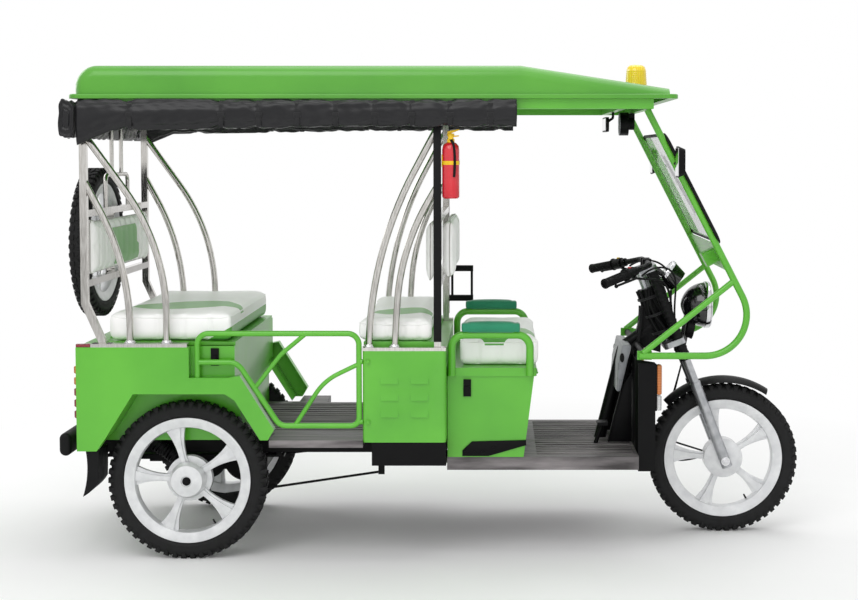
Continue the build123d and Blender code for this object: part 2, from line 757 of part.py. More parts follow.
# Driver's seat box, open above, on the driver's floor
with BuildPart() as driver_seat_box:
    with BuildSketch(Plane.XZ.offset(-driver_box_half)):
        with BuildLine():
            Polyline(
                (driver_box_rear_x, driver_floor_z), (driver_box_foot_x, driver_floor_z),
                (driver_box_top_x, driver_box_top_z), (driver_box_rear_x, driver_box_top_z), close=True,
            )
        make_face()
    extrude(amount=2 * driver_box_half)
    offset(amount=-sheet, openings=driver_seat_box.faces().sort_by(Axis.Z)[-1])
    hinge_x = driver_lid_front_x + hinge_dia / 2
    leaf_x = (driver_box_top_x - sheet, hinge_x)
    knuckles(hinge_x, driver_box_top_z, box_barrels, leaf_x, (driver_box_top_z - 4, driver_box_top_z))
finish(driver_seat_box.part, "driver_seat_box")

# Driver's floor: a ribbed pan over the front rails
with BuildPart() as driver_floor:
    x = (driver_box_rear_x - 2, driver_floor_front_x)
    block(x, (-driver_floor_half, driver_floor_half), (driver_floor_low_z, driver_floor_z))
    hollow = driver_floor_half - sheet
    inside = (x[0] + sheet, x[1] - sheet)
    block(inside, (-hollow, hollow), (driver_floor_low_z, front_rail_top), mode=Mode.SUBTRACT)
    for side in (-1, 1):
        y = (side * rail_y - rail_width / 2 - 0.5, side * rail_y + rail_width / 2 + 0.5)
        block((x[0], x[0] + sheet), y, (driver_floor_low_z, front_rail_top), mode=Mode.SUBTRACT)
    span = driver_floor_half - 18
    count = int(2 * span / rib_pitch)
    for n in range(count):
        y = (n - (count - 1) / 2) * rib_pitch
        rib = (y - rib_width / 2, y + rib_width / 2)
        x = (driver_box_top_x + 12, driver_floor_front_x - 12)
        block(x, rib, (driver_floor_z, driver_floor_z + rib_height))
    add(chassis.part, mode=Mode.SUBTRACT)
finish(driver_floor.part, "driver_floor")

# Driver's seat lid with its armrest loops, on a hinge along its front edge
with BuildPart() as driver_seat_lid:
    x = (driver_box_rear_x, driver_lid_front_x)
    block(x, (-driver_lid_half, driver_lid_half), (driver_box_top_z, driver_lid_top_z))
    fillet(driver_seat_lid.edges().filter_by(Axis.Z), 10)
    inside = (x[0] + sheet, x[1] - sheet)
    inner = driver_lid_half - sheet
    block(inside, (-inner, inner), (driver_box_top_z, driver_lid_top_z - sheet), mode=Mode.SUBTRACT)
    for side in (-1, 1):
        y = side * arm_y
        loop = [
            (arm_rear_x, y, driver_box_top_z + 4), (arm_rear_x, y, arm_top_z),
            (arm_front_x, y, arm_top_z), (arm_front_x, y, driver_box_top_z + 4),
        ]
        tube(loop, arm_dia, 46)
    block(inside, (-inner, inner), (driver_box_top_z, driver_lid_top_z - sheet), mode=Mode.SUBTRACT)
    leaf_z = (driver_box_top_z, driver_box_top_z + 8)
    knuckles(hinge_x, driver_box_top_z, lid_barrel, (driver_lid_front_x, hinge_x), leaf_z)
finish(driver_seat_lid.part, "driver_seat_lid")
with BuildPart() as driver_cushion:
    x = (driver_cushion_rear_x, driver_cushion_front_x)
    low = driver_lid_top_z + soft_clear
    block(x, (-driver_cushion_half, driver_cushion_half), (low, driver_cushion_top_z))
    fillet(driver_cushion.edges().filter_by(Axis.Z), 30)
    fillet(driver_cushion.faces().sort_by(Axis.Z)[-1].edges(), 24)
finish(driver_cushion.part, "driver_cushion")
with BuildPart() as armrest_pads:
    middle = (arm_rear_x + arm_front_x) / 2
    low = arm_top_z + arm_dia / 2 + soft_clear
    for side in (-1, 1):
        y = (side * arm_y - 28, side * arm_y + 28)
        block((middle - arm_pad_length / 2, middle + arm_pad_length / 2), y, (low, arm_pad_top_z))
    fillet(armrest_pads.edges().filter_by(Axis.Z), 16)
    fillet(armrest_pads.faces().filter_by(Axis.Z).sort_by(Axis.Z)[-2:].edges(), 10)
finish(armrest_pads.part, "armrest_pads")

# Toggle latches on the right sides of the two seat boxes: a plate with its lever
latch_width = 28
latch_height = 62
latch_depth = 9
latch_lever = (16, 6, 24)
# middle x, side face y, top z
latch_rows = ((-800, -rear_box_half, body_top_z - 8), (104, -driver_box_half, 651))
with BuildPart() as latches:
    for x, face_y, top_z in latch_rows:
        front_y = face_y - latch_depth
        block((x - latch_width / 2, x + latch_width / 2), (front_y, face_y), (top_z - latch_height, top_z))
        with Locations((x, front_y - latch_lever[1] / 2, top_z - 0.6 * latch_height)):
            Box(*latch_lever)
finish(latches.part, "latches")

# Side guard on the right: bent green tube between the two boxes
guard_y = -475
guard_dia = 20
guard_rear_x = -859
guard_front_x = mid_box_rear_x - guard_dia / 2 - 3
with BuildPart() as side_guard:
    y = guard_y
    top = 831
    low = 499
    outline = [
        (guard_rear_x, y, ledge_z), (guard_rear_x, y, top), (guard_front_x, y, top), (guard_front_x, y, low),
        (-566, y, low), (-716, y, 728), (guard_rear_x + 5, y, 728),
    ]
    tube(outline, guard_dia, [40, 40, 30, 45, 60])
    tube([(-470, y, top), (-560, y, 756), (-650, y, 640)], guard_dia * 0.8, 160)
    tube([(guard_front_x, y, 722), (-405, y, 662), (-512, y, low)], guard_dia * 0.8, 200)
    for z in (730, 513):
        with BuildSketch(Plane(origin=(mid_box_rear_x, y, z), z_dir=(-1, 0, 0))):
            Circle(9)
        extrude(amount=-guard_front_x + mid_box_rear_x)
    block((guard_rear_x - 20, -750), (-half_width, 0), (ledge_z - 30, ledge_z), mode=Mode.SUBTRACT)
finish(side_guard.part, "side_guard")

# Roof frame under the shell
with BuildPart() as roof_frame:
    for side in (-1, 1):
        y = (side * frame_rail_y - post / 2, side * frame_rail_y + post / 2)
        block((cross_bars[0] - post / 2, front_bar + post / 2), y, (frame_low_z, roof_low_z))
    for x in cross_bars:
        block((x - post / 2, x + post / 2), (-frame_rail_y, frame_rail_y), (frame_low_z, roof_low_z))
finish(roof_frame.part, "roof_frame")

# Roof shell: a flange around the rim, rounded shoulders and a nose that slopes down
roof_side = roof_half - roof_inset
roof_back = roof_rear_x + roof_rear_inset
band_top_z = roof_low_z + roof_band


def roof_body(inset):
    # the raised part of the roof, or its inside when inset is the wall
    with BuildPart() as body:
        with BuildSketch(Plane.XZ.offset(inset - roof_side)):
            with BuildLine():
                Polyline(
                    (roof_back + inset, roof_low_z), (roof_back + inset, roof_top_z - inset),
                    (roof_slope_x, roof_top_z - inset), (roof_tip_x - 30 - inset, roof_slope_low_z - inset),
                    (roof_tip_x - 30 - inset, roof_low_z), close=True,
                )
            make_face()
            fillet(body_corners(roof_back + inset, roof_top_z - inset), roof_back_round - inset)
        extrude(amount=2 * (roof_side - inset))
        crown = body.faces().filter_by(GeomType.PLANE).filter_by(lambda f: f.normal_at().Z > 0.5)
        long = crown.edges().filter_by(lambda e: abs(abs(e.center().Y) - (roof_side - inset)) < 0.1)
        bend = body.faces().filter_by(GeomType.CYLINDER).edges().filter_by(GeomType.CIRCLE)
        fillet(long + bend, roof_shoulder - inset)
    return body.part


def body_corners(x, z):
    # the corner of the sketch in hand that lies at x, z
    corners = BuildSketch._get_context().vertices()
    return corners.filter_by(lambda v: abs(v.X - x) < 0.1 and abs(v.Y - z) < 0.1)


roof_form = roof_body(0)
with BuildPart() as roof_shell:
    with BuildSketch(Plane.XY.offset(roof_low_z)):
        with Locations(((roof_rear_x + roof_tip_x) / 2, 0)):
            RectangleRounded(roof_tip_x - roof_rear_x, 2 * roof_half, 34)
    extrude(amount=roof_band)
    fillet(roof_shell.faces().sort_by(Axis.Z)[-1].edges(), 5)
    add(roof_form)
    add(roof_body(roof_sheet), mode=Mode.SUBTRACT)
finish(roof_shell.part, "roof_shell")

# Flashing beacon: dark foot and clear yellow dome
with BuildPart() as beacon_foot:
    foot_low = roof_low_z
    with BuildSketch(Plane.XY.offset(foot_low)):
        with Locations((beacon_x, 0)):
            Circle(beacon_dia / 2 - 2)
    extrude(amount=beacon_top_z - 62 - foot_low)
    add(roof_form, mode=Mode.SUBTRACT)
    block((beacon_x - 100, beacon_x + 100), (-100, 100), (foot_low - 1, band_top_z), mode=Mode.SUBTRACT)
    add(roof_shell.part, mode=Mode.SUBTRACT)
with BuildPart() as beacon:
    add(beacon_foot.part)
    with BuildSketch(Plane.XZ):
        with BuildLine():
            r = beacon_dia / 2
            base_z = beacon_top_z - 62
            Polyline((beacon_x, base_z), (beacon_x + r, base_z), (beacon_x + r - 3, base_z + 44))
            ThreePointArc(
                (beacon_x + r - 3, base_z + 44), (beacon_x + r - 12, base_z + 57),
                (beacon_x + r - 22, base_z + 62)
            )
            Polyline((beacon_x + r - 22, base_z + 62), (beacon_x, base_z + 62), (beacon_x, base_z))
        make_face()
    revolve(axis=Axis((beacon_x, 0, 0), (0, 0, 1)))
finish(beacon.part, "beacon")

# Rolled canvas blinds under the roof's edge
roll_in = post_y + post / 2 + soft_clear
roll_out = half_width + 34
canvas_front_x = 283
canvas_rear_x = -1333
rear_roll_low_z = 1520
# x, lowest z, outer y
roll_sections = (
    (-1273, 1500, roll_out - 12), (-1150, 1552, roll_out - 4), (-500, 1560, roll_out),
    (canvas_front_x, 1566, roll_out - 6),
)
with BuildPart() as canvas_blinds:
    for side in (-1, 1):
        for x, low, out in roll_sections:
            with BuildSketch(Plane.YZ.offset(x)):
                with Locations((side * (roll_in + out) / 2, (low + roof_low_z - 1) / 2)):
                    RectangleRounded(out - roll_in, roof_low_z - 1 - low, (out - roll_in) / 2 - 2)
        loft(ruled=True)
    x = (canvas_rear_x, rear_post_x - post / 2 - soft_clear)
    with BuildSketch(Plane.XZ.offset(-roll_out)):
        with Locations(((x[0] + x[1]) / 2, (rear_roll_low_z + roof_low_z - 1) / 2)):
            RectangleRounded(x[1] - x[0], roof_low_z - 1 - rear_roll_low_z, 24)
    extrude(amount=2 * roll_out)
finish(canvas_blinds.part, "canvas_blinds")

# Front frame, one bent tube and one diagonal on each side, bolted to the cross tube
pillar_top = (front_bar, frame_low_z)
with BuildPart() as front_frame:
    for side in (-1, 1):
        y = side * frame_y
        loop = [
            (pillar_top[0], y, pillar_top[1]), (pillar_low_x, y, lower_bar_z),
            (lower_bar_rear_x, y, lower_bar_z),
        ]
        tube(loop, frame_tube, frame_bend)
        slope = (lower_bar_z - pillar_top[1]) / (pillar_low_x - pillar_top[0])
        top_z = pillar_top[1] + slope * (diagonal_top_x - pillar_top[0])
        tube([(lower_bar_rear_x + 14, y, lower_bar_z + 10), (diagonal_top_x, y, top_z)], frame_tube * 0.9)
        plate = (y - side * (plate_in - 6), y - side * plate_in)
        block((lower_bar_rear_x - 6, lower_bar_rear_x + 47), plate, (lower_bar_z - 16, lower_bar_z + 17))
    block((600, 900), (-frame_y - 30, frame_y + 30), (frame_low_z, frame_low_z + 60), mode=Mode.SUBTRACT)
finish(front_frame.part, "front_frame")


def pillar_point(z, out=0.0):
    # a point at height z on the pillars' line, moved out to the front by out
    along = (z - pillar_top[1]) / pillar_dir.Z
    return Vector(pillar_top[0], 0, pillar_top[1]) + pillar_dir * along + pillar_out * out


# Windscreen in front of the pillars, and the cowl panel between them with the wiper's housing
glass_half = frame_y + 14
glass_out = frame_tube / 2 + soft_clear
with BuildPart() as windscreen:
    low = pillar_point(glass_low_z, glass_out)
    high = pillar_point(glass_high_z, glass_out)
    with BuildSketch(Plane(origin=(low + high) / 2, x_dir=(0, 1, 0), z_dir=pillar_out)):
        RectangleRounded(2 * glass_half, (high - low).length, 40)
    extrude(amount=glass_thick)
finish(windscreen.part, "windscreen")
cowl_low_z = 1040
cowl_half = frame_y - frame_tube / 2 - soft_clear
with BuildPart() as cowl_panel:
    low = pillar_point(cowl_low_z)
    high = pillar_point(glass_low_z)
    with BuildSketch(Plane(origin=(low + high) / 2, x_dir=(0, 1, 0), z_dir=pillar_out)):
        Rectangle(2 * cowl_half, (high - low).length)
    extrude(amount=sheet)
    with BuildSketch(Plane(origin=(low + high) / 2, x_dir=(0, 1, 0), z_dir=-pillar_out)):
        with Locations((-150, 0)):
            RectangleRounded(70, 56, 12)
    extrude(amount=46)
    with BuildSketch(Plane(origin=(low + high) / 2, x_dir=(0, 1, 0), z_dir=pillar_out)):
        with Locations((-150, 30)):
            Circle(9)
    extrude(amount=glass_out + glass_thick + 4)
finish(cowl_panel.part, "cowl_panel")

# Legshield: a panel behind the front wheel with wings that curve forward
wing_root = 230
with BuildPart() as legshield:
    rear = driver_floor_front_x
    wall = 5
    with BuildSketch(Plane.XY.offset(legshield_low_z)):
        with BuildLine():
            Polyline((rear, -wing_root), (rear, wing_root), (wing_front_x - wall, legshield_half - 36))
            Polyline(
                (wing_front_x - wall, legshield_half - 36), (wing_front_x - wall, legshield_half),
                (wing_front_x, legshield_half), (wing_front_x, legshield_half - 38),
                (rear + wall, wing_root - 4), (rear + wall, 4 - wing_root),
                (wing_front_x, 38 - legshield_half), (wing_front_x, -legshield_half),
                (wing_front_x - wall, -legshield_half), (wing_front_x - wall, 36 - legshield_half),
                (rear, -wing_root),
            )
        make_face()
    extrude(amount=legshield_high_z - legshield_low_z)
    for side in (-1, 1):
        y = (side * (legshield_half - 5), side * legshield_half)
        block((rear, wing_front_x), y, (legshield_low_z, legshield_high_z))
    block((rear - 3, rear), (60, 330), (514, 700))
finish(legshield.part, "legshield")

# Lamps and reflectors
lamp_low_z = 528
lamp_high_z = 698
lamp_thick = 24
lamp_edge = 2
lamp_width = 32
tail_lamp_low_z = 513
tail_lamp_count = 5
tail_lamp_pitch = 40.5
tail_lamp_height = 38
tail_lamp_reach = 25
tail_lamp_edge = 12
tail_lamp_width = 62
tail_base_thick = 8
tail_base_rim = 2
reflector_width = 22
with BuildPart() as lamps:
    for side in (-1, 1):
        y = (side * (legshield_half - lamp_edge - lamp_width), side * (legshield_half - lamp_edge))
        block((wing_front_x, wing_front_x + lamp_thick), y, (lamp_low_z, lamp_high_z))
    for side in (-1, 1):
        outer = half_width - side_depth - tail_lamp_edge
        inner = outer - tail_lamp_width
        for n in range(tail_lamp_count):
            z = tail_lamp_low_z + n * tail_lamp_pitch
            block((tail_x - tail_lamp_reach, tail_x), (side * inner, side * outer), (z, z + tail_lamp_height))
        y = (side * (inner - tail_base_rim), side * (outer + tail_base_rim))
        block((tail_x - tail_base_thick, tail_x), y, (tail_lamp_low_z - 3, z + tail_lamp_height + 3))
        y = (side * (half_width - reflector_width), side * half_width)
        block((tail_x, tail_x + rail_setback - 1), y, (body_top_z, body_top_z + cap_rail))
finish(lamps.part, "lamps")

# Rear bumper: a rubber-covered oval bar on two brackets
bumper_rear_x = -1382
bumper_z = 414
bumper_section = (44, 84)
bumper_half = 400
with BuildPart() as rear_bumper:
    middle_x = bumper_rear_x + bumper_section[0] / 2
    with BuildSketch(Plane.XZ.offset(-bumper_half)):
        with Locations((middle_x, bumper_z)):
            SlotOverall(bumper_section[1], bumper_section[0], rotation=90)
    extrude(amount=2 * bumper_half)
    for side in (-1, 1):
        y = (side * rail_y - 20, side * rail_y + 20)
        block((middle_x, tail_x), y, (rail_top_z - 30, rail_top_z - 4))
    ends = rear_bumper.faces().filter_by(Axis.Y).sort_by(Axis.Y)
    fillet((ends[0:1] + ends[-1:]).edges(), 14)
finish(rear_bumper.part, "rear_bumper")

# Mudflaps behind the rear wheels, curved to a tip at the lower rear
flap_width = 130
flap_front_x = -1215
flap_rear_x = -1262
flap_tip = (-1274, 242)
flap_heel = (-1218, 296)
with BuildPart() as mudflaps:
    for side in (-1, 1):
        with BuildSketch(Plane.XZ.offset(-side * (half_width - 12))):
            with BuildLine():
                Polyline(flap_heel, (flap_front_x, tail_low_z), (flap_rear_x, tail_low_z))
                ThreePointArc((flap_rear_x, tail_low_z), (flap_rear_x + 4, 320), flap_tip)
                ThreePointArc(flap_tip, (-1243, 264), flap_heel)
            make_face()
        extrude(amount=side * flap_width)
finish(mudflaps.part, "mudflaps")

# Mirrors: one on each pillar outside and one inside under the roof
mirror_z = 1443
mirror_size = (98, 112)
mirror_y = 432
mirror_depth = 24
cabin_mirror = (190, 56)
cabin_mirror_at = (628, 1584)      # x of its glass and height of its middle
cabin_stay_x = 662
with BuildPart() as mirrors:
    root = pillar_point(mirror_z)
    for side in (-1, 1):
        face_x = root.X + 4
        with BuildSketch(Plane(origin=(face_x, side * mirror_y, mirror_z), x_dir=(0, 1, 0), z_dir=(1, 0, 0))):
            RectangleRounded(*mirror_size, 22)
        extrude(amount=mirror_depth, taper=24)
        tube([(root.X + 2, side * frame_y, mirror_z - 6), (face_x + 8, side * mirror_y, mirror_z - 6)], 12)
    add(front_frame.part, mode=Mode.SUBTRACT)
    x, z = cabin_mirror_at
    with BuildSketch(Plane(origin=(x, 0, z), x_dir=(0, 1, 0), z_dir=(-1, 0, 0))):
        RectangleRounded(*cabin_mirror, 20)
    extrude(amount=-12)
    tube([(x + 6, 0, z + 6), (cabin_stay_x, 0, z + 26), (cabin_stay_x, 0, frame_low_z)], 10, 8)
finish(mirrors.part, "mirrors")

# Small cabin fan under the front cross bar
fan_x = 700
fan_y = 150
fan_z = 1590
fan_dia = 92
fan_depth = 34
fan_motor_dia = 48
fan_motor_length = 24
fan_stay_width = 12
with BuildPart() as cabin_fan:
    back = fan_x + fan_depth
    with BuildSketch(Plane(origin=(fan_x, fan_y, fan_z), z_dir=(-1, 0, 0))):
        Circle(fan_dia / 2)
    extrude(amount=-fan_depth)
    with BuildSketch(Plane(origin=(back, fan_y, fan_z), z_dir=(1, 0, 0))):
        Circle(fan_motor_dia / 2)
    extrude(amount=fan_motor_length)
    stay_y = (fan_y - fan_stay_width / 2, fan_y + fan_stay_width / 2)
    block((back, back + fan_motor_length + 2), stay_y, (fan_z + 2, frame_low_z))
finish(cabin_fan.part, "cabin_fan")

# Fire extinguisher in its bracket on the right middle post
bottle_dia = 62
bottle_x = post / 2 + 4 + bottle_dia / 2
bottle_low_z = 1313
bottle_high_z = 1513
with BuildPart() as extinguisher:
    with BuildSketch(Plane.XZ.offset(post_y)):
        with BuildLine():
            r = bottle_dia / 2
            Polyline(
                (bottle_x, bottle_low_z), (bottle_x + r - 4, bottle_low_z), (bottle_x + r, bottle_low_z + 4),
                (bottle_x + r, bottle_high_z - 20), (bottle_x + 14, bottle_high_z),
                (bottle_x + 14, bottle_high_z + 30),
                (bottle_x + 9, bottle_high_z + 54), (bottle_x, bottle_high_z + 54), (bottle_x, bottle_low_z),
            )
        make_face()
    revolve(axis=Axis((bottle_x, -post_y, 0), (0, 0, 1)))
    block((post / 2, bottle_x), (-post_y - 10, -post_y + 10), (1452, 1470))
    block((post / 2, bottle_x), (-post_y - 10, -post_y + 10), (1330, 1342))
finish(extinguisher.part, "extinguisher")

# Black bracket frame on the left middle post
bracket_rear_bar_x = 26
bracket_front_x = 114
bracket_bar = 24
bracket_low_z = 854
bracket_high_z = 1003
with BuildPart() as grab_bracket:
    y = (post_y - bracket_bar / 2, post_y + bracket_bar / 2)
    gap_z = (bracket_low_z + bracket_bar, bracket_high_z - bracket_bar)
    block((post / 2, bracket_front_x), y, (gap_z[1], bracket_high_z))
    block((post / 2, bracket_front_x), y, (bracket_low_z, gap_z[0]))
    for x in (bracket_rear_bar_x, bracket_front_x - 6):
        block((x - 5, x + 5), (y[0] + 7, y[1] - 7), gap_z)
    add(mid_posts.part, mode=Mode.SUBTRACT)
finish(grab_bracket.part, "grab_bracket")

# Foot brake pedal, its cross shaft and the rods to the rear drums
rod_dia = 9
with BuildPart() as brake_linkage:
    block((596, 636), (-150, -90), (438, 450))
    tube([(616, -120, 440), (590, -120, driver_floor_z)], 16)
    for side in (-1, 1):
        y = side * (rail_y + rail_width / 2 + 6)
        block((-229, -206), (y - 5, y + 5), (280, tray_low_z))
        tube([(-217, y, 290), (rear_axle_x + 60, side * (plate_y - 14), axle_z - 78)], rod_dia)
        block((rear_axle_x + 50, rear_axle_x + 68), (side * (plate_y - 19), side * (plate_y - 8)), (205, 262))
    tube([(-217, -rail_y - rail_width / 2 - 6, 310), (-217, rail_y + rail_width / 2 + 6, 310)], 18)
    add(driver_floor.part, mode=Mode.SUBTRACT)
finish(brake_linkage.part, "brake_linkage")

# Fork: stanchions, sliders, two clamps, stem and the wheel's axle
axle_half = stanchion_y + slider_dia / 2 + 6
fork_top_z = 1028
with BuildPart() as fork:
    for side in (-1, 1):
        y = side * stanchion_y
        foot = Vector(front_axle_x, y, axle_z)
        shoulder = foot - steer_dir * slider_length
        crown = steer_point(fork_top_z, steer_offset, y)
        tube([shoulder, crown], stanchion_dia)
        tube([foot + steer_dir * 26, shoulder], slider_dia)
    for z in (fork_top_z, head_low_z):
        middle = steer_point(z)
        below = clamp_clear if z == head_low_z else 0
        with BuildSketch(Plane(origin=middle + steer_dir * below, x_dir=steer_fore, z_dir=steer_dir)):
            with Locations((steer_offset / 2, 0)):
                RectangleRounded(steer_offset + 44, 2 * stanchion_y + 44, 18)
        extrude(amount=clamp_thick)
    stem_low = steer_point(head_low_z) + steer_dir * (clamp_clear + clamp_thick / 2)
    tube([stem_low, steer_point(fork_top_z)], head_tube_bore - 2 * run_clear)
    with BuildSketch(Plane.XZ.offset(-axle_half)):
        with Locations((front_axle_x, axle_z)):
            Circle(front_axle_dia / 2)
    extrude(amount=2 * axle_half)
finish(fork.part, "fork")

# Handlebar with grips, levers and its riser clamp on the top yoke
bar_z = 1052
bar_x = 792
lever_dia = 9
with BuildPart() as handlebar:
    bend_y = 150
    for side in (-1, 1):
        grip_root_y = grip_half_span - grip_length
        grip_run = Vector(grip_x, side * grip_half_span, grip_z) - Vector(bar_x, side * bend_y, bar_z)
        end = Vector(grip_x, side * grip_half_span, grip_z)
        root = end - grip_run.normalized() * grip_length
        tube([root, end], grip_dia)
        tube([root - grip_run.normalized() * 44, root - grip_run.normalized() * 4], grip_dia + 10)
        ahead = Vector(46, 0, -10)
        tube([root - grip_run.normalized() * 24, root + ahead, end + ahead * 0.9], lever_dia, 14)
    points = [
        (grip_x + 8, -grip_half_span + 8, grip_z + 2), (bar_x, -bend_y, bar_z),
        (bar_x, bend_y, bar_z), (grip_x + 8, grip_half_span - 8, grip_z + 2),
    ]
    tube(points, bar_dia, 45)
    for y in (-32, 32):
        block((bar_x - 17, bar_x + 17), (y - 12, y + 12), (fork_top_z - 4, bar_z + 14))
    add(fork.part, mode=Mode.SUBTRACT)
finish(handlebar.part, "handlebar")

# Headlamp bowl and glass on its bracket to the lower yoke
with BuildPart() as headlamp:
    with BuildSketch(Plane.XZ):
        with BuildLine():
            r = lamp_dia / 2
            back = lamp_x - lamp_depth
            ThreePointArc((back, lamp_z), (back + 30, lamp_z + r * 0.68), (lamp_x - 22, lamp_z + r - 4))
            Polyline(
                (lamp_x - 22, lamp_z + r - 4), (lamp_x - 20, lamp_z + r), (lamp_x - 4, lamp_z + r),
                (lamp_x, lamp_z + r - 8), (lamp_x, lamp_z), (back, lamp_z),
            )
        make_face()
    revolve(axis=Axis((lamp_x, 0, lamp_z), (1, 0, 0)))
    stay = steer_point(head_low_z, steer_offset + 22)
    seat = stay + steer_dir * (clamp_clear + clamp_thick / 2) - steer_fore * 8
    tube([(back + 30, 0, lamp_z - 20), seat], 26)
    add(fork.part, mode=Mode.SUBTRACT)
finish(headlamp.part, "headlamp")

# Round gauge facing up to the driver
with BuildPart() as gauge:
    up = -steer_dir * 0.86 - steer_fore * 0.5
    face = Vector(gauge_x, 0, gauge_z) + up.normalized() * 34
    with BuildSketch(Plane(origin=face, z_dir=-up.normalized())):
        Circle(gauge_dia / 2)
    extrude(amount=62, taper=9)
    seat = steer_point(fork_top_z) + steer_dir * clamp_thick / 2 + steer_fore * (steer_offset + 12)
    tube([Vector(gauge_x - 6, 0, gauge_z - 14), seat], 22)
    add(fork.part, mode=Mode.SUBTRACT)
finish(gauge.part, "gauge")

# Horn below the headlamp
with BuildPart() as horn:
    with BuildSketch(Plane(origin=(978, 0, 790), z_dir=(1, 0, -0.2))):
        Circle(40)
    extrude(amount=-26, taper=12)
    tube([(958, 0, 794), steer_point(head_low_z - 24, steer_offset + 20)], 12)
    add(fork.part, mode=Mode.SUBTRACT)
    add(headlamp.part, mode=Mode.SUBTRACT)
finish(horn.part, "horn")

# Front mudguard, a curved section swept round the tyre between the fork legs
with BuildPart() as front_mudguard:
    crown_r = tyre_dia / 2 + guard_gap
    flank_r = crown_r - 22
    radial = Vector(1, 0, 0).rotate(Axis.Y, -guard_from)
    start = Plane(origin=(front_axle_x, 0, axle_z), x_dir=radial, z_dir=radial.cross(Vector(0, 1, 0)))
    with BuildSketch(start):
        with BuildLine():
            ThreePointArc((flank_r, -guard_half_width), (crown_r, 0), (flank_r, guard_half_width))
            Line((flank_r, guard_half_width), (flank_r, guard_half_width - guard_sheet))
            inner = guard_half_width - guard_sheet
            ThreePointArc((flank_r, inner), (crown_r - guard_sheet, 0), (flank_r, -inner))
            Line((flank_r, -inner), (flank_r, -guard_half_width))
        make_face()
    axle = Axis((front_axle_x, 0, axle_z), (0, -1, 0))
    revolve(axis=axle, revolution_arc=guard_to - guard_from)
finish(front_mudguard.part, "front_mudguard")
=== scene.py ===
import bpy
import math
from mathutils import Matrix, Vector


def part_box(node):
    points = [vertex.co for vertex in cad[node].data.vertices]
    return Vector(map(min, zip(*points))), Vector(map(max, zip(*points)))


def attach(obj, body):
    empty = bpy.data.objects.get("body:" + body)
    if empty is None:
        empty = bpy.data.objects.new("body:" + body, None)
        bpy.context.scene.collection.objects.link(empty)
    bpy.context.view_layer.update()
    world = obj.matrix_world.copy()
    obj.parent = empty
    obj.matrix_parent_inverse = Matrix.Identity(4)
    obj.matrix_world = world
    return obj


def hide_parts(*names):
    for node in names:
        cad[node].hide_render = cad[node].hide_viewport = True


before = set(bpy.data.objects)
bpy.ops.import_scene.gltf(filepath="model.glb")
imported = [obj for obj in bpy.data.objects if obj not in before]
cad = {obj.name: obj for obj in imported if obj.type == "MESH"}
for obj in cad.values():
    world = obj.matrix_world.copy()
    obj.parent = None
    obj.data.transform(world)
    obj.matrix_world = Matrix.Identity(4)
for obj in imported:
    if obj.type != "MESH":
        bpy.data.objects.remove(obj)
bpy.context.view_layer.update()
mm = 0.001
weldDistance = 0.00002
bothSides = ((-1, "Right"), (1, "Left"))
upward = (0, 0, 1)
forward = (1, 0, 0)


# Shared helpers

def setMode(mode):
    bpy.ops.object.mode_set(mode=mode)


def clearSelection():
    if bpy.context.object and bpy.context.object.mode != "OBJECT":
        setMode("OBJECT")
    bpy.ops.object.select_all(action="DESELECT")


def only(piece):
    clearSelection()
    piece.select_set(True)
    bpy.context.view_layer.objects.active = piece


def settle(piece, name):
    # object at the origin, place in the mesh
    only(piece)
    bpy.ops.object.transform_apply(location=True, rotation=True, scale=True)
    piece.name = name
    piece.data.name = name
    return piece


def applyModifier(piece, kind, **settings):
    only(piece)
    modifier = piece.modifiers.new(kind.lower(), kind)
    for key, value in settings.items():
        setattr(modifier, key, value)
    bpy.ops.object.modifier_apply(modifier=modifier.name)
    return piece


def bevelEdges(piece, width, segments=2):
    return applyModifier(piece, "BEVEL", width=width, segments=segments, limit_method="ANGLE")


def smooth(piece, degrees=35):
    only(piece)
    bpy.ops.object.shade_smooth_by_angle(angle=math.radians(degrees))
    return piece


def tidyNormals(piece):
    only(piece)
    setMode("EDIT")
    bpy.ops.mesh.select_all(action="SELECT")
    bpy.ops.mesh.remove_doubles(threshold=weldDistance)
    bpy.ops.mesh.normals_make_consistent(inside=False)
    setMode("OBJECT")
    return piece


def addBox(name, low, high, bevel=0.0, segments=2):
    clearSelection()
    middle = [(a + b) / 2 for a, b in zip(low, high)]
    bpy.ops.mesh.primitive_cube_add(size=1, location=middle)
    piece = bpy.context.object
    piece.scale = [abs(b - a) for a, b in zip(low, high)]
    settle(piece, name)
    if bevel:
        bevelEdges(piece, bevel, segments)
    return piece


def addRod(name, start, end, radius, sides=24, bevel=0.0, topRadius=None):
    # a cylinder or cone between two points
    clearSelection()
    start, end = Vector(start), Vector(end)
    turn = (end - start).to_track_quat("Z", "Y").to_euler()
    bpy.ops.mesh.primitive_cone_add(
        vertices=sides, radius1=radius, radius2=radius if topRadius is None else topRadius,
        depth=(end - start).length, location=(start + end) / 2, rotation=turn)
    piece = settle(bpy.context.object, name)
    if bevel:
        bevelEdges(piece, bevel)
    return piece


def addBall(name, middle, radius):
    clearSelection()
    bpy.ops.mesh.primitive_uv_sphere_add(segments=32, ring_count=16, radius=radius, location=middle)
    return settle(bpy.context.object, name)


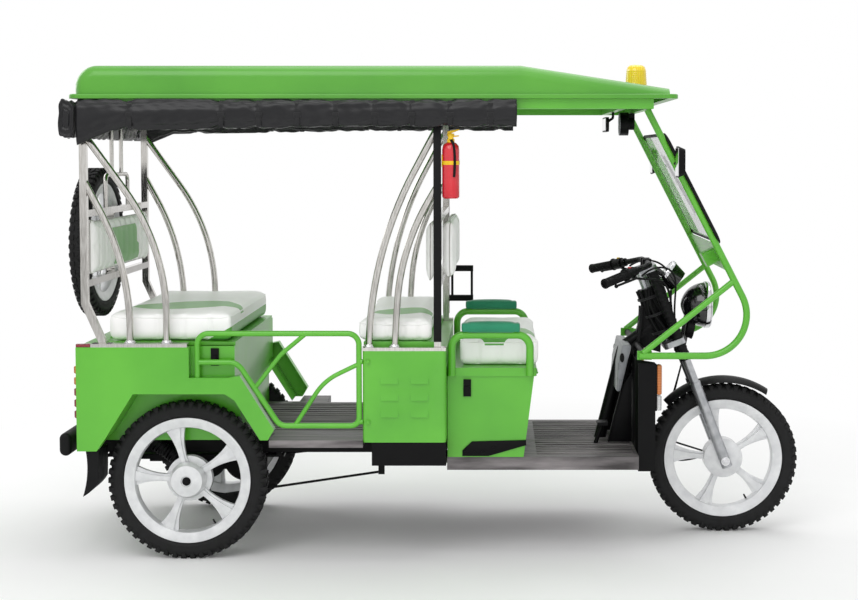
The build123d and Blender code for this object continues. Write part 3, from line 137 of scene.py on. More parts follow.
def spinOutline(name, outline, middle, axis, steps=64):
    # outline is (radius, height along the axis) points; it is spun once round the axis
    clearSelection()
    bpy.ops.mesh.primitive_circle_add(vertices=len(outline), radius=1, fill_type="NOTHING")
    piece = bpy.context.object
    axis = Vector(axis).normalized()
    out = axis.orthogonal().normalized()
    for vertex, (radius, height) in zip(piece.data.vertices, outline):
        vertex.co = Vector(middle) + out * radius + axis * height
    only(piece)
    setMode("EDIT")
    bpy.ops.mesh.select_all(action="SELECT")
    bpy.ops.mesh.spin(steps=steps, angle=2 * math.pi, center=middle, axis=axis)
    bpy.ops.mesh.select_all(action="SELECT")
    bpy.ops.mesh.remove_doubles(threshold=weldDistance)
    bpy.ops.mesh.normals_make_consistent(inside=False)
    setMode("OBJECT")
    piece.name = name
    return smooth(piece)


def addHose(name, points, radius, kind="NURBS", order=4, closed=False):
    # a tube through control points: an open one has capped ends, a closed one is a ring
    curve = bpy.data.curves.new(name, "CURVE")
    curve.dimensions = "3D"
    curve.bevel_depth = radius
    curve.bevel_resolution = 2 if closed else 3
    curve.use_fill_caps = not closed
    if not closed:
        curve.resolution_u = 8
    line = curve.splines.new(kind)
    line.points.add(len(points) - 1)
    for point, place in zip(line.points, points):
        point.co = (*place, 1)
    line.use_cyclic_u = closed
    if kind == "NURBS":
        line.order_u = order
        line.use_endpoint_u = not closed
    piece = bpy.data.objects.new(name, curve)
    bpy.context.scene.collection.objects.link(piece)
    only(piece)
    bpy.ops.object.convert(target="MESH")
    return smooth(bpy.context.object)


def copyOf(piece, name, matrix):
    twin = piece.copy()
    twin.data = piece.data.copy()
    twin.data.transform(matrix)
    twin.name = name
    bpy.context.scene.collection.objects.link(twin)
    if matrix.determinant() < 0:
        tidyNormals(twin)
    return twin


def joined(pieces, name):
    clearSelection()
    for piece in pieces:
        piece.select_set(True)
    bpy.context.view_layer.objects.active = pieces[0]
    bpy.ops.object.join()
    pieces[0].name = name
    return pieces[0]


def dress(piece, finish, body="vehicle", stands=()):
    piece.data.materials.clear()
    piece.data.materials.append(finish)
    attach(piece, body)
    if stands:
        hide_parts(*stands)
    return piece


# Materials: lengths in mm, tones as sRGB hex

# scale at which a wave texture repeats once per mm
waveScale = 314


def linear(hexText):
    # sRGB hex to the linear values that a shader takes
    values = [int(hexText[i:i + 2], 16) / 255 for i in (0, 2, 4)]
    return [v / 12.92 if v <= 0.04045 else ((v + 0.055) / 1.055) ** 2.4 for v in values] + [1.0]


def addNode(tree, kind, inputs=None, **settings):
    node = tree.nodes.new(kind)
    for key, value in settings.items():
        setattr(node, key, value)
    for key, value in (inputs or {}).items():
        if isinstance(value, bpy.types.NodeSocket):
            tree.links.new(value, node.inputs[key])
        else:
            node.inputs[key].default_value = value
    return node


def newFinish(name, **sockets):
    material = bpy.data.materials.new(name)
    material.use_nodes = True
    tree = material.node_tree
    shader = tree.nodes["Principled BSDF"]
    for key, value in sockets.items():
        shader.inputs[key.replace("_", " ")].default_value = value
    place = addNode(tree, "ShaderNodeTexCoord").outputs["Object"]
    return material, tree, shader, place


def toneRamp(tree, value, dark, light, start=0.0, end=1.0):
    # the dark tone turns to the light one as the value goes from start to end
    ramp = addNode(tree, "ShaderNodeValToRGB", {"Fac": value})
    for element, tone, position in zip(ramp.color_ramp.elements, (dark, light), (start, end)):
        element.position = position
        element.color = linear(tone)
    return ramp.outputs["Color"]


def addBump(tree, shader, height, depthMm, strength):
    bump = addNode(tree, "ShaderNodeBump", {"Height": height, "Distance": depthMm * mm,
        "Strength": strength})
    tree.links.new(bump.outputs["Normal"], shader.inputs["Normal"])


def surface(name, light, dark, roughness, patchMm, grainMm, bumpMm, metallic=0.0, stretch=(1, 1, 1),
        **sockets):
    # two close tones in soft patches, a roughness that drifts with them and a fine grain as bump
    material, tree, shader, place = newFinish(name, Metallic=metallic, **sockets)
    mapped = addNode(tree, "ShaderNodeMapping", {"Vector": place, "Scale": stretch}).outputs["Vector"]
    patch = addNode(tree, "ShaderNodeTexNoise", {"Vector": mapped, "Scale": 1000 / patchMm, "Detail": 4.0})
    tone = toneRamp(tree, patch.outputs["Fac"], dark, light, 0.35, 0.68)
    tree.links.new(tone, shader.inputs["Base Color"])
    rough = addNode(tree, "ShaderNodeMapRange", {"Value": patch.outputs["Fac"], "From Min": 0.3,
        "From Max": 0.7, "To Min": roughness[0], "To Max": roughness[1]})
    tree.links.new(rough.outputs["Result"], shader.inputs["Roughness"])
    grain = addNode(tree, "ShaderNodeTexNoise", {"Vector": mapped, "Scale": 1000 / grainMm, "Detail": 3.0})
    addBump(tree, shader, grain.outputs["Fac"], bumpMm, 0.6)
    return material


# powder-coated sheet steel: even leaf green, satin gloss with a faint orange peel
bodyPaint = surface("powder coated steel green", "5EB431", "53A72A", (0.28, 0.38), 260, 5, 0.05,
    Coat_Weight=0.18, Coat_Roughness=0.12)
# gel-coated fibreglass: a little glossier and more even than the sheet steel
roofGel = surface("gel coated fibreglass green", "54A12C", "4A9527", (0.28, 0.38), 420, 16, 0.05,
    Coat_Weight=0.15, Coat_Roughness=0.08)
# black powder coat on chassis steel: satin, slightly dusty
blackSteel = surface("black powder coated steel", "0C0C0D", "070708", (0.4, 0.58), 60, 3, 0.06,
    Specular_IOR_Level=0.14)
# moulded black ABS: fine grain, low sheen
blackPlastic = surface("moulded ABS black", "0B0B0C", "070708", (0.36, 0.5), 90, 2, 0.05,
    Specular_IOR_Level=0.14)
# smoother moulded black for the headlamp bowl and the gauge
glossBlack = surface("gloss ABS black", "121214", "0C0C0D", (0.12, 0.2), 120, 4, 0.02, Coat_Weight=0.6,
    Coat_Roughness=0.05)
# EPDM floor mat: dull black with a brown cast
floorMat = surface("rubber floor mat", "868182", "322E2F", (0.4, 0.62), 40, 4, 0.2, stretch=(0.15, 1.6, 1))
# cured tyre rubber: dark grey, dull on the tread
tyreRubber = surface("tyre rubber", "202021", "151515", (0.62, 0.8), 30, 1.6, 0.12, Specular_IOR_Level=0.25)
# polished stainless tube: drawn marks run along the tube
brightTube = surface("polished stainless tube", "D8D6D2", "BDBAB5", (0.1, 0.22), 14, 2, 0.02, metallic=1.0,
    stretch=(3, 3, 0.3))
# cast wheel in silver lacquer: fine metallic fleck under a clear coat
silverLacquer = surface("silver lacquered casting", "E0E1E2", "CFD0D2", (0.3, 0.42), 40, 1.5, 0.04,
    metallic=0.3, Coat_Weight=0.3, Coat_Roughness=0.15)
# fork sliders: satin aluminium castings
forkAlloy = surface("satin aluminium", "BEBFC2", "A5A7AA", (0.28, 0.4), 30, 1.8, 0.04, metallic=0.9)
chromePlate = surface("chrome plate", "E2E2E4", "CFCFD2", (0.05, 0.12), 40, 6, 0.01, metallic=1.0)
softRubber = surface("moulded rubber black", "121213", "0B0B0C", (0.5, 0.66), 40, 2.4, 0.12,
    Specular_IOR_Level=0.18)
redPaint = surface("extinguisher red enamel", "CF2230", "B81825", (0.16, 0.26), 90, 5, 0.03,
    Coat_Weight=0.5, Coat_Roughness=0.06)
yellowPlastic = surface("yellow moulded plastic", "F4C912", "E6B90A", (0.3, 0.4), 60, 2, 0.04)
greyPlastic = surface("grey moulded plastic", "8E9094", "7B7D81", (0.25, 0.4), 60, 2, 0.04)


def clearLens(name, light, dark, ribMm, axis, weight=0.25):
    # moulded acrylic lens: deep colour, fine ribs inside as bump
    material, tree, shader, place = newFinish(name, Roughness=0.12, IOR=1.49, Coat_Weight=0.5,
        Coat_Roughness=0.04, Transmission_Weight=weight)
    wave = addNode(tree, "ShaderNodeTexWave", {"Vector": place, "Scale": waveScale / ribMm,
        "Distortion": 0.3}, bands_direction=axis)
    tree.links.new(toneRamp(tree, wave.outputs["Fac"], dark, light), shader.inputs["Base Color"])
    addBump(tree, shader, wave.outputs["Fac"], 0.4, 0.5)
    return material


amberLens = clearLens("acrylic lens amber", "E08A3E", "B9642A", 6, "Z")
redLens = clearLens("acrylic lens red", "A32A36", "701622", 6, "Z")
clearWhiteLens = clearLens("acrylic lens clear", "ECECEC", "CFCFCF", 6, "Z", 0.5)
beaconLens = clearLens("acrylic lens yellow", "FFE41E", "F9CF0E", 9, "X", 0.1)
lampGlass = clearLens("pressed headlamp glass", "F2F4F5", "DDE1E4", 8, "Y", 0.9)


def glassFinish():
    # clear float glass, faint green at the edge
    material, tree, shader, place = newFinish("float glass", Roughness=0.02, IOR=1.52,
        Transmission_Weight=1.0)
    smear = addNode(tree, "ShaderNodeTexNoise", {"Vector": place, "Scale": 6.0})
    tree.links.new(toneRamp(tree, smear.outputs["Fac"], "F1F6F4", "FAFCFB"), shader.inputs["Base Color"])
    return material


floatGlass = glassFinish()


def clothWeave(name, light, dark, threadMm, sheen=0.2, roughness=0.7, bumpMm=0.3):
    # crossed threads from two wave patterns, with soft patches of wear
    material, tree, shader, place = newFinish(name, Roughness=roughness, Sheen_Weight=sheen,
        Specular_IOR_Level=0.3)
    waves = []
    for direction in ("X", "Z"):
        waves.append(addNode(tree, "ShaderNodeTexWave", {
            "Vector": place, "Scale": waveScale / threadMm, "Distortion": 0.4}, bands_direction=direction))
    both = addNode(tree, "ShaderNodeMath", {0: waves[0].outputs["Fac"], 1: waves[1].outputs["Fac"]},
        operation="MULTIPLY")
    patch = addNode(tree, "ShaderNodeTexNoise", {"Vector": place, "Scale": 14.0, "Detail": 5.0})
    blend = addNode(tree, "ShaderNodeMath", {0: both.outputs[0], 1: patch.outputs["Fac"]},
        operation="MULTIPLY")
    tree.links.new(toneRamp(tree, blend.outputs[0], dark, light, end=0.55), shader.inputs["Base Color"])
    addBump(tree, shader, both.outputs[0], bumpMm, 0.5)
    return material


# coated tarpaulin: charcoal with a wet-looking coat over a coarse weave
tarpaulin = clothWeave("coated tarpaulin black", "2B2B2D", "141416", 2.4, sheen=0.05, roughness=0.27,
    bumpMm=0.2)
strapWebbing = clothWeave("woven strap black", "1C1C1E", "0E0E10", 1.6, roughness=0.6)
foamCover = clothWeave("dark green padded cloth", "2E9A72", "1C7A58", 3.0, sheen=0.3, roughness=0.55,
    bumpMm=0.35)


def vinyl(name, light, dark):
    # coated seat vinyl: fine leather grain from a Voronoi pattern, soft shine
    material, tree, shader, place = newFinish(name, Roughness=0.42, Sheen_Weight=0.08, Coat_Weight=0.12,
        Coat_Roughness=0.3)
    patch = addNode(tree, "ShaderNodeTexNoise", {"Vector": place, "Scale": 9.0, "Detail": 5.0})
    tree.links.new(toneRamp(tree, patch.outputs["Fac"], dark, light, start=0.3),
        shader.inputs["Base Color"])
    grain = addNode(tree, "ShaderNodeTexVoronoi", {"Vector": place, "Scale": 1000 / 2.2},
        feature="DISTANCE_TO_EDGE")
    addBump(tree, shader, grain.outputs["Distance"], 0.25, 0.4)
    return material


whiteVinyl = vinyl("seat vinyl white", "FFFFFF", "F8F7F6")
greenVinyl = vinyl("seat vinyl green", "5FAE43", "4C9A36")
seamThread = vinyl("piping vinyl grey", "BDBBB7", "A5A39F")

print("materials made")


# Camera, light and stage

# fitted to the photo; pitch is in degrees below the horizon
view = {"place": (0.204, -5.652, 1.478), "lens": 61.12, "shiftX": -0.0765, "shiftY": -0.0863, "pitch": 2.9}


def makeCamera():
    clearSelection()
    bpy.ops.object.camera_add(location=view["place"], rotation=(math.radians(90 - view["pitch"]), 0, 0))
    camera = bpy.context.object
    camera.data.lens = view["lens"]
    camera.data.sensor_width = 36
    camera.data.shift_x = view["shiftX"]
    camera.data.shift_y = view["shiftY"]
    bpy.context.scene.camera = camera
    bpy.context.scene.view_settings.view_transform = "Standard"


def makeFloor():
    clearSelection()
    bpy.ops.mesh.primitive_plane_add(size=60, location=(0, 0, 0))
    floor = bpy.context.object
    floor.name = "studioFloor"
    material, tree, shader, place = newFinish("matt studio floor", Roughness=0.9)
    shader.inputs["Specular IOR Level"].default_value = 0.1
    grain = addNode(tree, "ShaderNodeTexNoise", {"Vector": place, "Scale": 3.0})
    tree.links.new(toneRamp(tree, grain.outputs["Fac"], "F6F6F6", "FAFAFA"), shader.inputs["Base Color"])
    # far from the object the floor turns to plain white for the camera, so no horizon shows
    split = addNode(tree, "ShaderNodeVectorMath", {0: place}, operation="LENGTH")
    far = addNode(tree, "ShaderNodeMapRange", {"Value": split.outputs["Value"], "From Min": 1.7,
        "From Max": 3.2})
    path = addNode(tree, "ShaderNodeLightPath")
    share = addNode(tree, "ShaderNodeMath", {0: far.outputs["Result"], 1: path.outputs["Is Camera Ray"]},
                    operation="MULTIPLY")
    white = addNode(tree, "ShaderNodeEmission", {"Color": (1, 1, 1, 1), "Strength": 1.0})
    blend = addNode(tree, "ShaderNodeMixShader", {0: share.outputs[0], 1: shader.outputs[0],
        2: white.outputs[0]})
    tree.links.new(blend.outputs[0], tree.nodes["Material Output"].inputs["Surface"])
    floor.data.materials.append(material)


def makeWorld():
    world = bpy.data.worlds.new("studioWorld")
    bpy.context.scene.world = world
    world.use_nodes = True
    tree = world.node_tree
    background = tree.nodes["Background"]
    path = addNode(tree, "ShaderNodeLightPath")
    seen = addNode(tree, "ShaderNodeMath", {0: path.outputs["Is Camera Ray"],
        1: path.outputs["Is Glossy Ray"]}, operation="MAXIMUM")
    seen = addNode(tree, "ShaderNodeMath", {0: seen.outputs[0], 1: path.outputs["Is Transmission Ray"]},
                   operation="MAXIMUM")
    strength = addNode(tree, "ShaderNodeMapRange", {"Value": seen.outputs[0], "To Min": 0.62,
        "To Max": 1.0})
    background.inputs["Color"].default_value = (1, 1, 1, 1)
    tree.links.new(strength.outputs["Result"], background.inputs["Strength"])


def makeLights():
    lamps = (("keyLight", (-1.5, -4.5, 5.2), 4.0, 120), ("topLight", (0.8, 0.8, 5.5), 5.0, 120),
             ("rearLight", (-5.0, 3.0, 3.4), 3.0, 60), ("fillLight", (0.4, -6.5, 0.9), 3.5, 90))
    for name, place, size, power in lamps:
        bpy.ops.object.light_add(type="AREA", location=place)
        light = bpy.context.object
        light.name = name
        light.data.size = size
        light.data.energy = power
        light.visible_glossy = name != "fillLight"
        light.rotation_euler = (Vector((0, 0, 0.9)) - Vector(place)).to_track_quat("-Z", "Y").to_euler()


makeCamera()
makeFloor()
makeWorld()
makeLights()
print("stage made")


# CAD nodes that stay: welded for clean shading, each in its finish

finishOf = {
    bodyPaint: ("cowl_panel", "driver_seat_box", "driver_seat_lid", "front_frame", "mid_seat_base", "mid_seat_box",
                "rear_seat_box", "rear_seat_lid", "rear_sides", "roof_frame", "side_guard", "tail_panel"),
    roofGel: ("roof_shell",),
    blackSteel: ("brake_linkage", "chassis", "foot_step", "grab_bracket", "horn", "latches", "rear_axle",
                 "rear_springs", "side_trays"),
    blackPlastic: ("battery_block", "cabin_fan", "front_mudguard", "legshield", "handlebar", "mirrors"),
    glossBlack: ("gauge", "headlamp"),
    floorMat: ("driver_floor", "passenger_floor"),
    forkAlloy: ("fork",),
    brightTube: ("grab_hoops", "mid_posts", "rear_posts", "spare_bracket"),
    silverLacquer: ("front_wheel", "rear_left_wheel", "rear_right_wheel", "spare_wheel"),
    tyreRubber: ("front_tyre", "rear_left_tyre", "rear_right_tyre", "spare_tyre"),
    softRubber: ("mudflaps", "rear_bumper"),
    floatGlass: ("windscreen",),
    redPaint: ("extinguisher",),
    redLens: ("lamps",),
    beaconLens: ("beacon",),
    tarpaulin: ("canvas_blinds",),
    foamCover: ("armrest_pads",),
    whiteVinyl: ("backrests", "driver_cushion", "mid_cushion", "rear_cushion"),
}


def dressFrame():
    for finish, names in finishOf.items():
        for name in names:
            node = cad[name]
            node.data.materials.clear()
            node.data.materials.append(finish)
            for face in node.data.polygons:
                face.use_smooth = True
            weld = node.modifiers.new("weld", "WELD")
            weld.merge_threshold = weldDistance
            split = node.modifiers.new("edges", "EDGE_SPLIT")
            split.split_angle = math.radians(32)


dressFrame()
print("frame dressed")


# Shapes shared by the sections below

def middleOf(name):
    low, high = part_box(name)
    return (low + high) / 2


def pickFaces(piece, test):
    # leaves the piece in edit mode with the wanted faces selected
    only(piece)
    setMode("EDIT")
    bpy.ops.mesh.select_mode(type="FACE")
    bpy.ops.mesh.select_all(action="DESELECT")
    setMode("OBJECT")
    for polygon in piece.data.polygons:
        polygon.select = test(polygon)
    setMode("EDIT")


def pullFaces(piece, test, shift, scale=(1, 1, 1)):
    # extrudes the wanted faces by shift and scales them about their middle
    pickFaces(piece, test)
    bpy.ops.mesh.extrude_region_move(TRANSFORM_OT_translate={"value": shift})
    setMode("OBJECT")
    chosen = [v.co for v in piece.data.vertices if v.select]
    middle = sum(chosen, Vector()) / len(chosen)
    setMode("EDIT")
    bpy.ops.transform.resize(value=scale, center_override=middle)
    setMode("OBJECT")


def turned(angle, axis):
    return Matrix.Rotation(math.radians(angle), 4, axis)


# Tyres: a carcass spun once, tread blocks round it, then copied to the four wheels

tyre = {"blockTop": 0.2874, "pitches": 54, "steps": 108, "ribTurn": 32}


def makeTyre():
    side = [(0.2295, 0.0240), (0.2310, 0.0285), (0.2345, 0.0318), (0.2390, 0.0338), (0.2415, 0.0349),
        (0.2440, 0.0345), (0.2500, 0.0354), (0.2570, 0.0357), (0.2640, 0.0346), (0.2700, 0.0322),
        (0.2765, 0.0270), (0.2812, 0.0200), (0.2832, 0.0100), (0.2838, 0.0)]
    outline = side + [(radius, -height) for radius, height in reversed(side[:-1])]
    carcass = spinOutline("tyre", outline, (0, 0, 0), upward, steps=tyre["steps"])
    top = tyre["blockTop"]
    shoulder = addBox("shoulderBlock", (0.2800, -0.0098, 0.0120), (top, 0.0098, 0.0290))
    pullFaces(shoulder, lambda f: f.normal.z > 0.9, (-0.015, 0, 0.0064), (1, 0.5, 1))
    applyModifier(shoulder, "BEVEL", width=0.0012, segments=1)
    otherShoulder = copyOf(shoulder, "otherShoulder", Matrix.Scale(-1, 4, (0, 0, 1)))
    rib = addBox("ribBlock", (0.2800, -0.0112, -0.0066), (top, 0.0112, 0.0066), bevel=0.0012, segments=1)
    blocks = [carcass]
    step = 360 / tyre["pitches"]
    for n in range(tyre["pitches"]):
        lean = turned(tyre["ribTurn"] * (-1) ** n, "X")
        blocks.append(copyOf(shoulder, "block", turned(n * step, "Z")))
        blocks.append(copyOf(otherShoulder, "block", turned((n + 0.5) * step, "Z")))
        blocks.append(copyOf(rib, "block", turned((n + 0.25) * step, "Z") @ lean))
    for spare in (shoulder, otherShoulder, rib):
        bpy.data.objects.remove(spare)
    return joined(blocks, "tyre")


wheelRows = (("front", "front_wheel_set", "X"), ("rear_right", "rear_right_wheel_set", "X"),
             ("rear_left", "rear_left_wheel_set", "X"), ("spare", "vehicle", "Y"))


def placeTyres():
    form = makeTyre()
    for name, body, axis in wheelRows:
        place = Matrix.Translation(middleOf(name + "_tyre")) @ turned(90, axis)
        piece = smooth(copyOf(form, name + "Tread", place), 30)
        dress(piece, tyreRubber, body, stands=(name + "_tyre",))
    bpy.data.objects.remove(form)


placeTyres()
print("tyres made")


# Wheel nuts, washers and tyre valves

def addNut(name, face, outward, radius, depth):
    # hex nut on its washer with the end of the stud showing
    face, outward = Vector(face), Vector(outward)
    washer = addRod(name, face, face + outward * depth * 0.2, radius * 1.3, 32)
    body = addRod("hex", face + outward * depth * 0.2, face + outward * depth, radius, 6,
        bevel=radius * 0.08)
    stud = addRod("stud", face + outward * depth, face + outward * depth * 1.25, radius * 0.5, 20,
        bevel=0.0005)
    return smooth(joined([washer, body, stud], name), 30)


def makeWheelNuts():
    for side, name in ((-1, "rear_right"), (1, "rear_left")):
        middle = middleOf(name + "_tyre")
        face = middle + Vector((0, side * 0.0452, 0))
        piece = addNut(name + "Nut", face, (0, side, 0), 0.012, 0.0040)
        dress(piece, blackSteel, name + "_wheel_set")
    middle = middleOf("front_tyre")
    for side, name in bothSides:
        piece = addNut("axleNut" + name, middle + Vector((0, side * 0.0925, 0)), (0, side, 0), 0.013, 0.006)
        dress(piece, chromePlate, "steering")
    spareFace = middleOf("spare_tyre").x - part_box("spare_wheel")[0].x - 0.0048
    piece = addNut("spareNut", middleOf("spare_tyre") - Vector((spareFace, 0, 0)), (-1, 0, 0), 0.012,
        0.0040)
    dress(piece, chromePlate)
    for name, body, axis in wheelRows:
        middle = middleOf(name + "_tyre")
        lean = turned(150, "Y" if axis == "X" else "X")
        inner = lean @ Vector((0, 0, 0.172))
        outer = lean @ Vector((0, 0, 0.206))
        valve = addRod(name + "Valve", middle + inner, middle + outer, 0.0032, 16, bevel=0.0006,
            topRadius=0.0044)
        dress(smooth(valve), softRubber, body)


makeWheelNuts()
print("wheel nuts made")


# Seat cushions and backrests: remeshed, inflated as cloth, then given seams and channels

padding = {"pressure": 4.0, "quality": 5, "tension": 8, "bending": 0.4, "frames": 20}
welt = {"points": 96, "radius": 0.0024, "reach": 0.01, "squareness": 0.28, "drop": 0.012}


def inflate(piece, low, high, voxel, cap):
    # cloth under inner pressure; each point moves at most cap and stays in the pad's space
    applyModifier(piece, "REMESH", mode="VOXEL", voxel_size=voxel)
    start = [vertex.co.copy() for vertex in piece.data.vertices]
    only(piece)
    cloth = piece.modifiers.new("cloth", "CLOTH")
    cloth.settings.quality = padding["quality"]
    cloth.settings.use_pressure = True
    cloth.settings.uniform_pressure_force = padding["pressure"]
    cloth.settings.effector_weights.gravity = 0
    cloth.settings.tension_stiffness = padding["tension"]
    cloth.settings.bending_stiffness = padding["bending"]
    cloth.point_cache.frame_start = 1
    cloth.point_cache.frame_end = padding["frames"]
    for step in range(1, padding["frames"] + 1):
        bpy.context.scene.frame_set(step)
    bpy.ops.object.modifier_apply(modifier="cloth")
    bpy.context.scene.frame_set(1)
    for vertex, first in zip(piece.data.vertices, start):
        move = vertex.co - first
        if move.length > cap:
            vertex.co = first + move.normalized() * cap
        vertex.co = [min(max(value, least), most) for value, least, most in zip(vertex.co, low, high)]
    return piece


def sewChannels(piece, axis, places, depth, width, where):
    # pulls the cover in along lines at these places
    for vertex in piece.data.vertices:
        if not where(vertex.co):
            continue
        near = min(abs(vertex.co[axis] - place) for place in places)
        pull = depth * math.exp(-(near / width) ** 2)
        vertex.co -= vertex.normal * pull
    return piece


def makeWelt(name, piece, low, high, level, axis=2):
    # piping sewn round the cover: a closed tube that lies on the cover's surface
    spans = [i for i in range(3) if i != axis]
    middle = (low + high) / 2
    points = []
    for n in range(welt["points"]):
        angle = 2 * math.pi * n / welt["points"]
        spot = Vector()
        spot[axis] = level
        for i, share in zip(spans, (math.cos(angle), math.sin(angle))):
            half = (high[i] - low[i]) / 2 + welt["reach"]
            spot[i] = middle[i] + half * math.copysign(abs(share) ** welt["squareness"], share)
        points.append(piece.closest_point_on_mesh(spot)[1])
    return addHose(name, points, welt["radius"], order=3, closed=True)


def stripedVinyl(name, band, xMiddle, xHalf, topZ, cornerX=None, cornerZ=0.0):
    # white seat vinyl with a green leaf-shaped insert along the top, and one at the lower front corner
    bandMiddle, bandHalf = band
    material = whiteVinyl.copy()
    material.name = name
    tree = material.node_tree
    shader = tree.nodes["Principled BSDF"]
    base = shader.inputs["Base Color"].links[0].from_socket
    place = addNode(tree, "ShaderNodeTexCoord").outputs["Object"]
    split = addNode(tree, "ShaderNodeSeparateXYZ", {0: place})

    def maths(kind, a, b=0.0):
        return addNode(tree, "ShaderNodeMath", {0: a, 1: b}, operation=kind).outputs[0]

    along = maths("DIVIDE", maths("SUBTRACT", split.outputs["X"], xMiddle), xHalf)
    edge = maths("MULTIPLY", maths("SUBTRACT", 1.0, maths("MULTIPLY", along, along)), bandHalf)
    sway = maths("MULTIPLY", maths("SINE", maths("MULTIPLY", along, 2.2)), bandHalf * 0.3)
    off = maths("ABSOLUTE", maths("SUBTRACT", maths("SUBTRACT", split.outputs["Y"], bandMiddle), sway))
    inBand = maths("LESS_THAN", off, edge)
    mask = maths("MULTIPLY", inBand, maths("GREATER_THAN", split.outputs["Z"], topZ))
    if cornerX is not None:
        slope = maths("ADD", maths("MULTIPLY", maths("SUBTRACT", split.outputs["X"], cornerX), 0.55),
            cornerZ)
        corner = maths("LESS_THAN", split.outputs["Z"], slope)
        mask = maths("MAXIMUM", mask, corner)
    patch = addNode(tree, "ShaderNodeTexNoise", {"Vector": place, "Scale": 9.0, "Detail": 5.0})
    green = toneRamp(tree, patch.outputs["Fac"], "4C9A36", "65B04A")
    mix = addNode(tree, "ShaderNodeMix", {"Factor": mask}, data_type="RGBA")
    tree.links.new(base, mix.inputs[6])
    tree.links.new(green, mix.inputs[7])
    tree.links.new(mix.outputs[2], shader.inputs["Base Color"])
    return material


cushions = {
    "rear_cushion": {"body": "rear_seat", "shrink": 0.006, "voxel": 0.0115, "cap": 0.014, "side": 4,
                     "band": (-0.19, 0.135)},
    "mid_cushion": {"body": "vehicle", "shrink": 0.005, "voxel": 0.0105, "cap": 0.012, "side": 4,
                    "band": (-0.17, 0.11)},
    "driver_cushion": {"body": "driver_seat", "shrink": 0.005, "voxel": 0.0105, "cap": 0.013, "side": 3,
                       "band": (-0.20, 0.12)},
}


def makeCushions():
    for name, row in cushions.items():
        low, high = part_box(name)
        inset = Vector((row["shrink"],) * 3)
        piece = addBox(name.replace("_", " ").title().replace(" ", ""), low + inset, high - inset)
        bevelEdges(piece, 0.016, 3)
        inflate(piece, low + Vector((0, 0, 0.0006)), high + Vector((0.004, 0.004, 0.004)), row["voxel"],
            row["cap"])
        applyModifier(piece, "SUBSURF", levels=1, render_levels=1)
        span = high.x - low.x
        places = [low.x + span * (n + 1) / (row["side"] + 1) for n in range(row["side"])]
        inner = [low.y + 0.03, high.y - 0.03]
        sewChannels(piece, 0, places, 0.0045, 0.009, lambda co: co.y < inner[0] or co.y > inner[1])
        xMiddle = (low.x + high.x) / 2
        finish = stripedVinyl("striped " + name.replace("_", " "), row["band"], xMiddle + 0.02, span * 0.47,
            high.z - 0.03, high.x - 0.11 if name == "rear_cushion" else None, low.z)
        smooth(piece, 60)
        dress(piece, finish, row["body"], (name,))
        piping = makeWelt(piece.name + "Welt", piece, low, high, high.z - welt["drop"])
        dress(piping, whiteVinyl, row["body"])
        print(piece.name, "made", len(piece.data.polygons))


makeCushions()

backPads = {
    "rearBackrest": {"low": (-1.2815, -0.429, 1.0212), "high": (-1.2350, 0.429, 1.2460), "front": 1, "pleats": 10},
    "midBackrest": {"low": (-0.0430, -0.425, 1.0050), "high": (-0.0130, 0.425, 1.2420), "front": -1, "pleats": 9},
    "driverBackrest": {"low": (0.0130, -0.330, 1.0050), "high": (0.0588, 0.330, 1.2420), "front": 1, "pleats": 7},
}


def makeBackrests():
    pads = []
    for name, row in backPads.items():
        low, high = Vector(row["low"]), Vector(row["high"])
        inset = Vector((0.008,) * 3)
        piece = addBox(name, low + inset, high - inset)
        bevelEdges(piece, 0.014, 3)
        grow = Vector((0.006, 0, 0)) * row["front"]
        lowest = Vector(map(min, low, low + grow))
        highest = Vector(map(max, high, high + grow))
        inflate(piece, lowest, highest, 0.0095, 0.011)
        width = high.y - low.y
        places = [low.y + width * (n + 1) / (row["pleats"] + 1) for n in range(row["pleats"])]
        facing = row["front"]
        middle = (low.x + high.x) / 2
        applyModifier(piece, "SUBSURF", levels=1, render_levels=1)
        sewChannels(piece, 1, places, 0.007, 0.008, lambda co: (co.x - middle) * facing > 0)
        smooth(piece, 60)
        dress(piece, whiteVinyl)
        edge = middle + facing * (high.x - low.x) * 0.22
        dress(makeWelt(name + "Welt", piece, low, high, edge, axis=0), seamThread)
        pads.append(piece)
    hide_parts("backrests")
    return pads


rearPad = makeBackrests()[0]
print("backrests made")

patch = {"corners": ((-0.185, 1.206), (0.165, 1.206), (0.225, 1.040), (-0.130, 1.040)), "lift": 0.0015}


def makePatch():
    # green vinyl patch sewn on the rear backrest, laid on its cover
    clearSelection()
    bpy.ops.mesh.primitive_grid_add(x_subdivisions=28, y_subdivisions=16, size=1)
    piece = bpy.context.object
    topLeft, topRight, lowRight, lowLeft = (Vector(corner) for corner in patch["corners"])
    for vertex in piece.data.vertices:
        u, v = vertex.co.x + 0.5, vertex.co.y + 0.5
        spot = (lowLeft.lerp(lowRight, u)).lerp(topLeft.lerp(topRight, u), v)
        sag = 0.012 * math.sin(math.pi * u) * (1 - v)
        hit = rearPad.closest_point_on_mesh(Vector((-1.20, spot.x, spot.y - sag)))
        vertex.co = hit[1] + Vector((patch["lift"], 0, 0))
    settle(piece, "backrestPatch")
    applyModifier(piece, "SOLIDIFY", thickness=0.0012, offset=0)
    tidyNormals(piece)
    smooth(piece, 60)
    dress(piece, greenVinyl)


makePatch()


